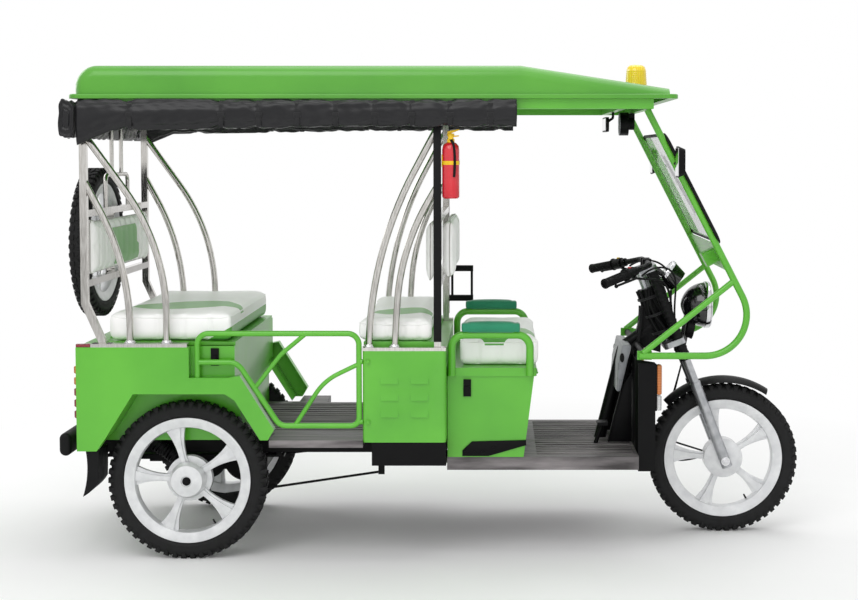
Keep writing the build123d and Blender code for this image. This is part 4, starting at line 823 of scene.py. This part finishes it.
def makeArmrests():
    # short bolsters: round, tapered at both ends, laced underneath
    low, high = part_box("armrest_pads")
    for side, name in bothSides:
        outer = side * high.y
        inner = side * (high.y - 0.056)
        least, most = min(outer, inner), max(outer, inner)
        padLow = Vector((low.x, least, low.z - 0.006))
        padHigh = Vector((high.x, most, high.z + 0.004))
        inset = Vector((0.006, 0.005, 0.003))
        piece = addBox("armPad" + name, padLow + inset, padHigh - inset)
        pullFaces(piece, lambda f: f.normal.x > 0.9, (0.0, 0, 0), (1, 0.8, 0.8))
        bevelEdges(piece, 0.010, 3)
        inflate(piece, padLow, padHigh + Vector((0, 0, 0.004)), 0.006, 0.008)
        for vertex in piece.data.vertices:
            share = abs(vertex.co.x - (low.x + high.x) / 2) / ((high.x - low.x) / 2)
            vertex.co.z -= 0.006 * max(0.0, share - 0.6) * (1 if vertex.co.z > low.z + 0.012 else 0)
        sewChannels(piece, 0, [low.x + 0.024, high.x - 0.024], 0.003, 0.004, lambda co: True)
        applyModifier(piece, "SUBSURF", levels=1, render_levels=1)
        smooth(piece, 60)
        dress(piece, foamCover, "driver_seat")
        if side < 0:
            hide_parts("armrest_pads")


makeArmrests()
print("arm pads made")

# Rolled side blinds under the roof edge: layered tubes of tarpaulin tied with straps

# each section is a place along the roll, its low edge and its outer edge
roll = {"inner": 0.4685, "top": 1.666,
        "sections": ((-1.272, 1.503, 0.511), (-1.150, 1.554, 0.519), (-0.500, 1.562, 0.523), (0.282, 1.568, 0.517)),
        "straps": (-1.082, -0.758, -0.626, -0.490, -0.355, -0.217, -0.087, 0.047, 0.190), "strapHalf": 0.0085,
        "rearStraps": (-0.440, -0.230, 0.0, 0.230, 0.440), "rearHalf": 0.522,
        "rearLow": (-1.332, 1.524), "rearHigh": (-1.276, 1.666), "around": 44, "columns": 260, "rearColumns": 180}


def sideSection(x):
    # low edge and outer edge of the rolled blind at x
    rows = roll["sections"]
    for first, second in zip(rows, rows[1:]):
        if x <= second[0]:
            share = (x - first[0]) / (second[0] - first[0])
            return [a + (b - a) * share for a, b in zip(first[1:], second[1:])]
    return list(rows[-1][1:])


def layerSwell(along, angle, straps):
    # folds run along the roll, fine creases gather at each strap
    near = min(abs(along - strap) for strap in straps)
    tie = math.exp(-(near / 0.022) ** 2)
    folds = (0.065 * math.sin(4 * angle + 1.6 * math.sin(5.1 * along))
             + 0.04 * math.sin(9 * angle - 7 * along))
    creases = 0.045 * math.sin(2 * math.pi * along / 0.061 + 2.2 * math.sin(3 * angle + 2 * along))
    gather = 0.04 * math.sin(11 * angle) * math.exp(-(near / 0.05) ** 2)
    sag = 0.05 * math.cos(2 * math.pi * along / 0.36)
    return 0.95 - 0.12 * tie + folds * (1 - tie) + creases * 0.6 + gather - sag * 0.4


def rollPoint(low, high, angle, size):
    # a point on the rounded section between two corners of its box
    middle = [(a + b) / 2 for a, b in zip(low, high)]
    half = [(b - a) / 2 for a, b in zip(low, high)]
    shares = [math.copysign(abs(s) ** 0.8, s) * size for s in (math.cos(angle), math.sin(angle))]
    return [min(max(m + h * s, a), b) for m, h, s, a, b in zip(middle, half, shares, low, high)]


def sidePoint(x, angle, size):
    low, outer = sideSection(x)
    y, z = rollPoint((roll["inner"], low), (outer, roll["top"]), angle, size)
    return Vector((x, -y, z))


def rearPoint(y, angle, size):
    x, z = rollPoint(roll["rearLow"], roll["rearHigh"], angle, size)
    return Vector((x, y, z))


def wrapGrid(name, start, end, columns, place):
    # a grid rolled up into a tube; place gives each point from its station and angle
    clearSelection()
    bpy.ops.mesh.primitive_grid_add(x_subdivisions=columns, y_subdivisions=roll["around"], size=1)
    piece = settle(bpy.context.object, name)
    for vertex in piece.data.vertices:
        along = start + (end - start) * (vertex.co.x + 0.5)
        vertex.co = place(along, 2 * math.pi * (vertex.co.y + 0.5))
    return smooth(tidyNormals(piece), 70)


def closeEnds(piece, axis, low, high):
    # caps the two open ends with the coiled layers showing as steps
    for level in (low, high):
        only(piece)
        setMode("EDIT")
        bpy.ops.mesh.select_mode(type="EDGE")
        bpy.ops.mesh.select_all(action="DESELECT")
        setMode("OBJECT")
        data = piece.data
        for edge in data.edges:
            edge.select = all(abs(data.vertices[i].co[axis] - level) < 0.00005 for i in edge.vertices)
        ring = [data.vertices[i].co.copy() for edge in data.edges if edge.select for i in edge.vertices]
        middle = sum(ring, Vector()) / len(ring)
        inward = Vector()
        inward[axis] = 0.004 if level == low else -0.004
        setMode("EDIT")
        for turn in range(4):
            bpy.ops.mesh.extrude_region_move()
            bpy.ops.transform.resize(value=(0.93, 0.93, 0.93), center_override=middle)
            bpy.ops.mesh.extrude_region_move(TRANSFORM_OT_translate={"value": inward})
            bpy.ops.transform.resize(value=(0.86, 0.86, 0.86), center_override=middle)
            inward = -inward
        bpy.ops.mesh.fill()
        setMode("OBJECT")
    return piece


def makeStrap(name, place, along, straps):
    # webbing round the roll
    def around(station, angle):
        size = layerSwell(along, angle, straps) + 0.035
        return place(station, angle, size)

    half = roll["strapHalf"]
    loop = wrapGrid(name, along - half, along + half, 3, around)
    return applyModifier(loop, "SOLIDIFY", thickness=0.0014, offset=0)


def finishRoll(piece, belt):
    dress(piece, tarpaulin)
    dress(smooth(belt, 40), strapWebbing)


def makeBlinds():
    first, last = roll["sections"][0][0], roll["sections"][-1][0]
    for side, name in ((1, "Right"), (-1, "Left")):
        straps = roll["straps"] if side > 0 else [s + 0.02 for s in roll["straps"]]
        piece = wrapGrid("blindRoll" + name, first, last, roll["columns"],
                         lambda x, angle: sidePoint(x, angle, layerSwell(x + 0.013 * side, angle, straps)))
        closeEnds(piece, 0, first, last)
        ties = [makeStrap("blindStraps" + name, sidePoint, strap, straps) for strap in straps]
        for strap in straps:
            # each strap's ladder lock buckle and free end
            low, outer = sideSection(strap)
            buckle = addBox("buckle", (strap - 0.012, -outer, 1.600),
                (strap + 0.012, -outer + 0.005, 1.618), 0.0012)
            tail = addBox("tail", (strap - 0.0075, -outer + 0.0008, low + 0.006),
                (strap + 0.0075, -outer + 0.0028, 1.604), 0.0006)
            ties += [buckle, tail]
        belt = joined(ties, "blindStraps" + name)
        if side < 0:
            for part in (piece, belt):
                part.data.transform(Matrix.Scale(-1, 4, (0, 1, 0)))
                tidyNormals(part)
        finishRoll(piece, belt)
        if side > 0:
            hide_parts("canvas_blinds")
    straps = roll["rearStraps"]
    half = roll["rearHalf"]
    piece = wrapGrid("blindRollRear", -half, half, roll["rearColumns"],
                     lambda y, angle: rearPoint(y, angle, layerSwell(y, angle, straps)))
    closeEnds(piece, 1, -half, half)
    belt = joined([makeStrap("blindStrapsRear", rearPoint, strap, straps) for strap in straps],
        "blindStrapsRear")
    finishRoll(piece, belt)


makeBlinds()
print("blinds made")


# Lamps: lenses in chrome rims on black bases

def makeFrontIndicators():
    for side, name in bothSides:
        y = sorted((side * 0.3065, side * 0.3375))
        base = addBox("indicatorBase" + name, (0.7950, y[0] - 0.001, 0.5270),
            (0.8010, y[1] + 0.001, 0.6990), 0.0015)
        amber = addBox("indicatorAmber" + name, (0.8000, y[0], 0.5860), (0.8190, y[1], 0.6980), 0.007, 4)
        white = addBox("parkingLens" + name, (0.8000, y[0], 0.5280), (0.8185, y[1], 0.5840), 0.006, 4)
        dress(smooth(base), blackPlastic)
        dress(smooth(amber), amberLens)
        dress(smooth(white), clearWhiteLens)
        if side < 0:
            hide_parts("lamps")


tail = {"low": 0.5130, "step": 0.0405, "height": 0.0380, "y": (0.3765, 0.4375)}


def makeTailLamps():
    for side, name in bothSides:
        y = sorted(side * value for value in tail["y"])
        base = addBox("tailBase" + name, (-1.2980, y[0] - 0.0015, 0.5105), (-1.2900, y[1] + 0.0015, 0.7155),
            0.002)
        dress(smooth(base), blackPlastic)
        rims, lenses = [], {redLens: [], amberLens: []}
        for n in range(5):
            low = tail["low"] + n * tail["step"]
            high = low + tail["height"]
            rim = addBox("rim", (-1.3050, y[0], low), (-1.2975, y[1], high))
            pullFaces(rim, lambda f: f.normal.x < -0.9, (0, 0, 0), (1, 0.88, 0.82))
            pullFaces(rim, lambda f: f.normal.x < -0.9 and f.area < 0.0020, (0.0025, 0, 0), (1, 0.98, 0.98))
            bevelEdges(rim, 0.0008)
            rims.append(rim)
            lens = addBox("lens", (-1.3060, y[0] + 0.004, low + 0.0035),
                (-1.3000, y[1] - 0.004, high - 0.0035))
            pullFaces(lens, lambda f: f.normal.x < -0.9, (-0.0090, 0, 0), (1, 0.82, 0.74))
            bevelEdges(lens, 0.0022, 3)
            lenses[amberLens if n > 2 else redLens].append(lens)
        dress(smooth(joined(rims, "tailRims" + name)), chromePlate)
        for finish, group in lenses.items():
            word = "tailAmber" if finish is amberLens else "tailRed"
            dress(smooth(joined(group, word + name)), finish)
        y = sorted((side * 0.4685, side * 0.4895))
        reflector = addBox("cornerReflector" + name, (-1.2895, y[0], 0.7832), (-1.2385, y[1], 0.7948),
            0.002, 3)
        dress(smooth(reflector), redLens)


makeFrontIndicators()
makeTailLamps()


def makeHeadlamp():
    # chrome rim, ribbed glass and the bulb holder's reflector behind it
    middle = (1.040, 0, 0.885)
    rim = spinOutline("headlampRim", [(0.0700, -0.002), (0.0700, 0.002), (0.0760, 0.0034), (0.0860, 0.0014),
        (0.0905, -0.006), (0.0908, -0.020), (0.0896, -0.021), (0.0885, -0.006)], middle, forward, 72)
    dress(rim, chromePlate, "steering")
    dish = spinOutline("headlampReflector", [(0.0, 0.0002), (0.0120, 0.0003), (0.0125, 0.0030),
        (0.0, 0.0034)], middle, forward, 48)
    dress(dish, chromePlate, "steering")
    backing = spinOutline("headlampDish", [(0.0, -0.0008), (0.0735, -0.0008), (0.0735, 0.0004),
        (0.0, 0.0004)], middle, forward, 64)
    dress(backing, silverLacquer, "steering")
    glass = spinOutline("headlampGlass", [(0.0, 0.0042), (0.0300, 0.0040), (0.0560, 0.0030),
        (0.0720, 0.0012), (0.0715, 0.0006), (0.0, 0.0036)], middle, forward, 72)
    dress(glass, lampGlass, "steering")


def makeGauge():
    normal = Vector((-0.781, 0, 0.624))
    face = Vector((0.8695, 0, 1.0142))
    bezel = spinOutline("gaugeBezel", [(0.0440, 0.0), (0.0440, 0.0030), (0.0460, 0.0046), (0.0510, 0.0040),
        (0.0530, 0.0), (0.0530, -0.0100), (0.0520, -0.0100), (0.0520, -0.0005)], face, normal, 64)
    dress(bezel, chromePlate, "steering")
    dial = addRod("gaugeDial", face + normal * 0.0002, face + normal * 0.0010, 0.0445, 48)
    dress(dial, blackPlastic, "steering")
    along = normal.orthogonal().normalized()
    marks = []
    for n in range(19):
        turn = Matrix.Rotation(math.radians(-135 + n * 15), 3, normal)
        ray = turn @ along
        length = 0.008 if n % 3 == 0 else 0.0045
        marks.append(addRod("mark", face + normal * 0.0012 + ray * (0.040 - length),
            face + normal * 0.0012 + ray * 0.040, 0.0006, 6))
    needle = Matrix.Rotation(math.radians(-120), 3, normal) @ along
    marks.append(addRod("needle", face + normal * 0.0016, face + normal * 0.0016 + needle * 0.032, 0.0010,
        8, topRadius=0.0004))
    marks.append(addRod("needleHub", face + normal * 0.0008, face + normal * 0.0030, 0.0045, 20))
    dress(joined(marks, "gaugeMarks"), whiteVinyl, "steering")
    glass = addRod("gaugeGlass", face + normal * 0.0032, face + normal * 0.0040, 0.0442, 48)
    dress(smooth(glass), floatGlass, "steering")


makeHeadlamp()
makeGauge()
print("lamps and gauge made")


# Handlebar: ribbed grips with flanges, switches, lever perches and cables

grip = {"end": (0.607, 0.350, 0.998), "run": (-0.666, 0.720, -0.1944), "length": 0.125, "ribs": 22}


def makeGrips():
    for side, name in bothSides:
        flip = Vector((1, side, 1))
        end = Vector(grip["end"]) * flip
        run = (Vector(grip["run"]) * flip).normalized()
        length, count = grip["length"], grip["ribs"]
        outline = [(0.0150, -length), (0.0240, -length), (0.0246, -length + 0.003)]
        for n in range(count):
            height = -length + 0.006 + n * (length - 0.012) / count
            outline += [(0.0162, height), (0.0176, height + 0.0012), (0.0176, height + 0.0030),
                (0.0162, height + 0.0042)]
        outline += [(0.0190, -0.0020), (0.0190, 0.0015), (0.0120, 0.0042), (0.0110, -0.0010)]
        dress(spinOutline("gripSleeve" + name, outline, end, run, 40), softRubber, "steering")
        root = end - run * (length + 0.024)
        up = Vector(upward)
        button = addRod("switchButton" + name, root + up * 0.019, root + up * 0.0245, 0.007, 20,
            bevel=0.001)
        dress(smooth(button), redPaint if side < 0 else yellowPlastic, "steering")
        clamp = spinOutline("leverPerch" + name, [(0.0120, -0.009), (0.0165, -0.008), (0.0165, 0.008),
            (0.0120, 0.009)], end - run * (length + 0.056), run, 28)
        dress(clamp, blackPlastic, "steering")
        tip = end + Vector((0.0414, 0, -0.009))
        ball = addBall("leverTip" + name, tip, 0.0075)
        dress(smooth(ball), blackPlastic, "steering")
        perch = root + Vector((0.046, 0, -0.010))
        route = [perch, perch + Vector((0.035, -side * 0.03, 0.030)), Vector((0.865, side * 0.150, 1.050)),
            Vector((0.905, side * 0.085, 0.990)), Vector((0.895, side * 0.060, 0.900)),
            Vector((0.900, side * 0.045, 0.800)), Vector((0.915, side * 0.040, 0.740))]
        cable = addHose("leverCable" + name, route, 0.0038)
        second = addHose("switchCable" + name, [root + Vector((0.012, 0, -0.018)),
            Vector((0.775, side * 0.190, 1.000)), Vector((0.845, side * 0.110, 1.000)),
            Vector((0.885, side * 0.075, 0.930)), Vector((0.885, side * 0.055, 0.850)),
            Vector((0.905, side * 0.050, 0.760))], 0.0046)
        dress(joined([cable, second], "barCables" + name), softRubber, "steering")


headTube = {"top": (0.7942, 0, 0.950), "down": (0.3616, 0, -0.9323), "fore": (0.9323, 0, 0.3616)}


def alongHead(distance, angle, radius):
    # a point at this distance down the head tube, turned about it
    down, fore = Vector(headTube["down"]), Vector(headTube["fore"])
    return (Vector(headTube["top"]) + down * distance + fore * radius * math.cos(angle)
            + Vector((0, 1, 0)) * radius * math.sin(angle))


def makeHarness():
    # wiring loom laid round the head tube, tied with straps, then back down the spine
    hoses = []
    for n in range(12):
        angle = 2 * math.pi * n / 12
        radius = 0.040 + 0.004 * math.sin(3.1 * n)
        route = [alongHead(step * 0.043, angle + 0.35 * math.sin(step * 1.1 + n),
            radius) for step in range(6)]
        hoses.append(addHose("loom", route, 0.0062 + 0.0012 * math.sin(n * 1.7)))
    for n in range(5):
        y = -0.03 + n * 0.015
        hoses.append(addHose("loomTail", [alongHead(0.06, math.pi, 0.045) + Vector((0, y, 0)),
            Vector((0.775, y, 0.830)), Vector((0.762, y * 1.4, 0.760)), Vector((0.752, y * 1.5, 0.700)),
            Vector((0.735, y, 0.620))], 0.0066))
    dress(joined(hoses, "wiringLoom"), softRubber)
    ties = []
    for distance in (0.035, 0.105, 0.175):
        ties.append(spinOutline("loomTie", [(0.0470, -0.005), (0.0492, -0.004), (0.0492, 0.004),
            (0.0470, 0.005)], alongHead(distance, 0, 0), headTube["down"], 40))
    dress(joined(ties, "loomTies"), strapWebbing)
    cables = []
    for n, z in ((0, 0.322), (1, 0.252)):
        cables.append(addHose("hubCable", [(0.945, 0.090, 0.640), (0.915, 0.094, 0.520),
            (0.868, 0.092, z + 0.060), (0.885, 0.084, z + 0.012), (0.950, 0.072, z - 0.006 * n),
            (1.060, 0.060, 0.288)], 0.0036))
    dress(joined(cables, "hubCables"), softRubber, "steering")


def addPrism(name, outline, y0, y1, bevel=0.002):
    # a flat outline in the XZ plane given thickness from y0 to y1
    clearSelection()
    bpy.ops.mesh.primitive_circle_add(vertices=len(outline), radius=1, fill_type="NGON")
    piece = bpy.context.object
    for vertex, (x, z) in zip(piece.data.vertices, outline):
        vertex.co = (x, y0, z)
    settle(piece, name)
    only(piece)
    setMode("EDIT")
    bpy.ops.mesh.select_all(action="SELECT")
    bpy.ops.mesh.extrude_region_move(TRANSFORM_OT_translate={"value": (0, y1 - y0, 0)})
    setMode("OBJECT")
    tidyNormals(piece)
    if bevel:
        bevelEdges(piece, bevel)
    return smooth(piece)


def makeFrontPanels():
    # light grey inner panel with a dark oval in it, and black brace plates down to the floor
    panel = addPrism("innerPanel", ((0.6900, 0.7480), (0.7250, 0.7440), (0.7050, 0.6600), (0.6830, 0.5680),
        (0.6670, 0.5680), (0.6740, 0.6700)), -0.150, 0.150, 0.006)
    dress(panel, greyPlastic, "vehicle")
    for side, name in bothSides:
        y = sorted((side * 0.1496, side * 0.1530))
        clearSelection()
        bpy.ops.mesh.primitive_cylinder_add(vertices=32, radius=0.011, depth=y[1] - y[0],
            location=(0.6880, (y[0] + y[1]) / 2, 0.6980), rotation=(math.pi / 2, 0, 0))
        bpy.context.object.scale = (0.8, 1.6, 1)
        oval = settle(bpy.context.object, "panelOval" + name)
        bevelEdges(oval, 0.0012)
        dress(smooth(oval), softRubber)
        outer = side * 0.118
        brace = addPrism("footBrace" + name, ((0.7280, 0.6400), (0.6950, 0.5900), (0.6620, 0.4700),
            (0.6400, 0.3720), (0.7280, 0.3720)), outer, outer + side * 0.006)
        flange = addPrism("flange", ((0.6970, 0.5900), (0.6640, 0.4700), (0.6420, 0.3720), (0.6370, 0.3720),
            (0.6590, 0.4700), (0.6920, 0.5920)), outer - side * 0.012, outer + side * 0.012, 0.001)
        dress(joined([brace, flange], "footBrace" + name), blackSteel)
        strut = addRod("headStrut" + name, (0.742, side * 0.045, 0.735), (0.700, side * 0.110, 0.600),
            0.009, 20)
        dress(smooth(strut), blackSteel)
    gusset = addPrism("headGusset", ((0.7850, 0.8900), (0.7600, 0.8000), (0.7400, 0.7300), (0.8500, 0.7000),
        (0.8500, 0.7900)), -0.020, 0.020, 0.003)
    dress(gusset, blackSteel)


def makeGaiters():
    # black sleeves over the upper fork legs
    low, high = Vector((0.9420, 0.07, 0.6800)), Vector((0.8060, 0.07, 1.0300))
    down = (low - high).normalized()
    length = (low - high).length
    outline = [(0.0170, 0.0), (0.0200, 0.0), (0.0210, 0.0040)]
    for n in range(16):
        spot = 0.010 + n * (length - 0.02) / 16
        outline += [(0.0195, spot), (0.0218, spot + 0.006), (0.0195, spot + 0.012)]
    outline += [(0.0205, length), (0.0170, length)]
    for side, name in bothSides:
        sleeve = spinOutline("forkSleeve" + name, outline, high * Vector((1, side, 1)), down, 32)
        dress(sleeve, softRubber, "steering")


makeGaiters()
makeGrips()
makeHarness()
makeFrontPanels()
print("handlebar and harness made")


# Windscreen rubber and wiper, mirror glasses, fan grille

screen = {"low": (1.0208, 1.1479), "high": (0.8183, 1.5409), "half": 0.377, "corner": 0.040, "thick": 0.005,
    "rubber": 0.0062}


def makeScreenTrim():
    low = Vector((screen["low"][0], 0, screen["low"][1]))
    high = Vector((screen["high"][0], 0, screen["high"][1]))
    up = (high - low).normalized()
    out = Vector((up.z, 0, -up.x))
    middle = (low + high) / 2 + out * screen["thick"] / 2
    halfUp, half, corner = (high - low).length / 2, screen["half"], screen["corner"]
    points = []
    for quarter, (sy, sz) in enumerate(((1, 1), (-1, 1), (-1, -1), (1, -1))):
        for step in range(9):
            angle = math.radians(quarter * 90 + step * 11.25)
            points.append((sy * (half - corner) + corner * math.cos(angle),
                sz * (halfUp - corner) + corner * math.sin(angle)))
    outline = [(p[0] * 0.996, p[1] * 0.996) for p in points]
    edge = [middle + Vector((0, y, 0)) + up * z for y, z in outline]
    dress(addHose("screenRubber", edge, screen["rubber"], "POLY", closed=True), softRubber)
    tip = max((v.co for v in cad["cowl_panel"].data.vertices), key=lambda co: co.dot(out)).copy()
    cap = addRod("wiperCap", tip - out * 0.002, tip + out * 0.006, 0.011, 28, bevel=0.002)
    hub = tip + out * 0.003
    lift = hub + up * 0.150 + Vector((0, 0.110, 0)) + out * 0.004
    end = hub + up * 0.300 + Vector((0, 0.190, 0)) - out * 0.001
    arm = addHose("wiperArm", [hub, hub + (lift - hub) * 0.4 + out * 0.006, lift, end], 0.0038)
    across = Vector((0, 0.18, 0)) + up * 0.42
    blade = addRod("wiperBlade", end - across * 0.42, end + across * 0.16, 0.0042, 12)
    lip = addRod("wiperLip", end - across * 0.44 - out * 0.004, end + across * 0.18 - out * 0.004, 0.0020,
        8)
    dress(smooth(joined([cap, arm, blade, lip], "wiper")), blackPlastic)


def makeMirrorGlasses():
    rows = (("Right", (0.8572, -0.432, 1.443), 0.086, 0.100), ("Left", (0.8572, 0.432, 1.443), 0.086,
        0.100), ("Cabin", (0.6276, 0.0, 1.584), 0.178, 0.046))
    for name, middle, width, height in rows:
        x, y, z = middle
        glass = addBox("mirrorGlass" + name, (x - 0.0012, y - width / 2, z - height / 2),
                       (x + 0.0012, y + width / 2, z + height / 2))
        bevelEdges(glass, 0.0006, 1)
        dress(smooth(glass), chromePlate)


fan = {"middle": (0.6995, 0.150, 1.590), "rings": (0.0120, 0.0210, 0.0300, 0.0380, 0.0455), "ribs": 16}


def makeFanGrille():
    middle = Vector(fan["middle"])
    wires = []
    for radius in fan["rings"]:
        wires.append(spinOutline("ring", [(radius - 0.0009, -0.0009), (radius - 0.0009, 0.0009),
            (radius + 0.0009, 0.0009), (radius + 0.0009, -0.0009)], middle, forward, 40))
    for n in range(fan["ribs"]):
        ray = Vector((0, math.cos(2 * math.pi * n / fan["ribs"]), math.sin(2 * math.pi * n / fan["ribs"])))
        wires.append(addRod("rib", middle + ray * 0.010, middle + ray * 0.0455, 0.0008, 6))
    badge = addRod("fanHub", middle - Vector((0.003, 0, 0)), middle, 0.012, 28, bevel=0.001)
    dress(joined(wires + [badge], "fanGrille"), greyPlastic, "vehicle")


makeScreenTrim()
makeMirrorGlasses()
makeFanGrille()


# Extinguisher and beacon as spun bodies

def makeExtinguisher():
    foot = (0.0475, -0.455, 0)
    bottle = spinOutline("extinguisherBottle", [(0.0, 1.3135), (0.0260, 1.3130), (0.0305, 1.3180),
        (0.0310, 1.3240), (0.0310, 1.4860), (0.0285, 1.5000), (0.0200, 1.5100), (0.0130, 1.5130),
        (0.0, 1.5130)], foot, upward, 64)
    dress(bottle, redPaint, stands=("extinguisher",))
    collar = spinOutline("extinguisherCollar", [(0.0, 1.5120), (0.0135, 1.5120), (0.0140, 1.5240),
        (0.0100, 1.5260), (0.0100, 1.5340), (0.0130, 1.5360), (0.0130, 1.5440), (0.0, 1.5450)], foot,
        upward, 40)
    lever = addPrism("valveLever", ((0.0360, 1.5400), (0.0780, 1.5560), (0.0790, 1.5600), (0.0440, 1.5540),
        (0.0360, 1.5520)), -0.4620, -0.4480, 0.0012)
    handle = addPrism("carryHandle", ((0.0400, 1.5290), (0.0770, 1.5340), (0.0770, 1.5380),
        (0.0400, 1.5360)), -0.4610, -0.4490, 0.001)
    knob = addRod("dialKnob", (0.0475, -0.4665, 1.5310), (0.0475, -0.4735, 1.5310), 0.0085, 24, bevel=0.001)
    dress(joined([collar, lever, handle, knob], "extinguisherHead"), yellowPlastic)
    hose = addHose("extinguisherHose", [(0.0480, -0.4660, 1.5220), (0.0560, -0.4800, 1.5180),
        (0.0640, -0.4840, 1.4800), (0.0630, -0.4850, 1.4200), (0.0600, -0.4840, 1.3900)], 0.0048)
    dress(hose, softRubber)
    band = spinOutline("extinguisherBand", [(0.0311, 1.4330), (0.0322, 1.4335), (0.0322, 1.4465),
        (0.0311, 1.4470)], foot, upward, 48)
    bracket = addPrism("bracketStrip", ((0.0150, 1.4250), (0.0190, 1.4250), (0.0190, 1.4700),
        (0.0150, 1.4700)), -0.4650, -0.4450, 0.0008)
    dress(joined([band, bracket], "extinguisherBracket"), yellowPlastic)


def makeBeacon():
    low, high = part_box("beacon")
    foot = ((low.x + high.x) / 2, 0, 0)
    radius = (high.y - low.y) / 2
    base = spinOutline("beaconBase", [(0.0, low.z), (radius, low.z), (radius, low.z + 0.014),
        (radius * 0.94, low.z + 0.018), (0.0, low.z + 0.018)], foot, upward, 56)
    dress(base, blackPlastic)
    outline = [(radius * 0.80, low.z + 0.018), (radius * 0.95, low.z + 0.018)]
    top = high.z
    for n in range(8):
        z = low.z + 0.020 + n * (top - low.z - 0.042) / 8
        share = radius * (0.95 - 0.012 * n)
        outline += [(share, z), (share + 0.0010, z + 0.0040), (share, z + 0.0080)]
    outline += [(radius * 0.78, top - 0.010), (radius * 0.60, top - 0.003), (radius * 0.30, top - 0.0003),
        (0.0, top), (0.0, top - 0.004), (radius * 0.60, top - 0.009)]
    lens = spinOutline("beaconLens", outline, foot, upward, 56)
    dress(lens, beaconLens, stands=("beacon",))


makeExtinguisher()
makeBeacon()
print("extinguisher and beacon made")


# Bolts, hoop feet, post strips and shock springs

def makeFixings():
    bolts, boxBolts = [], []
    for x, z in ((-0.249, 0.730), (-0.249, 0.513)):
        for side in (-1, 1):
            face = Vector((x, side * 0.490, z))
            boxBolts.append(addRod("bolt", face, face + Vector((0, side * 0.0015, 0)), 0.0085, 28,
                bevel=0.0005))
            boxBolts.append(addRod("boltHex", face, face + Vector((0, side * 0.0050, 0)), 0.0055, 6,
                bevel=0.0006))
    for x, z in ((-0.972, 0.795), (-1.103, 0.795), (-0.248, 0.781), (-0.155, 0.781)):
        for side in (-1, 1):
            foot = Vector((x, side * 0.455, z))
            bolts.append(spinOutline("footFlange", [(0.0130, 0.0), (0.0215, 0.0), (0.0215, 0.0028),
                (0.0170, 0.0036), (0.0150, 0.0090), (0.0130, 0.0090)], foot, upward, 36))
    dress(smooth(joined(bolts, "footFlanges")), chromePlate)
    dress(smooth(joined(boxBolts, "boxBolts")), bodyPaint)
    plate = addPrism("sideBracket", ((0.0860, 0.3900), (0.1210, 0.4230), (0.3190, 0.4280), (0.3190, 0.4090),
        (0.1820, 0.3690), (0.0860, 0.3690)), -0.3800, -0.3760, 0.0008)
    heads = [plate]
    for x, z in ((0.1000, 0.3840), (0.1300, 0.3800), (0.1600, 0.3820), (0.2000, 0.3980)):
        heads.append(addRod("bracketBolt", (x, -0.3800, z), (x, -0.3840, z), 0.0060, 6, bevel=0.0006))
    dress(smooth(joined(heads, "sideBracket")), blackSteel)
    strips = []
    for side in (-1, 1):
        y = sorted((side * 0.4701, side * 0.4722))
        strips.append(addBox("postStrip", (-0.0140, y[0], 0.8000), (0.0140, y[1], 1.6280), 0.0006))
    dress(smooth(joined(strips, "postStrips")), softRubber)


def makeCoils():
    # one wire wound round each shock absorber
    for side, name in bothSides:
        low, high = Vector((-0.965, side * 0.302, 0.344)), Vector((-1.050, side * 0.302, 0.400))
        lean = (high - low).normalized()
        across = lean.orthogonal().normalized()
        third = lean.cross(across)
        points = []
        for n in range(145):
            angle = 2 * math.pi * n / 16
            ring = across * math.cos(angle) + third * math.sin(angle)
            points.append(low + (high - low) * n / 144 + ring * 0.0262)
        coil = addHose("shockCoil" + name, points, 0.0034)
        dress(coil, blackSteel)


makeFixings()
makeCoils()
print("fixings made")
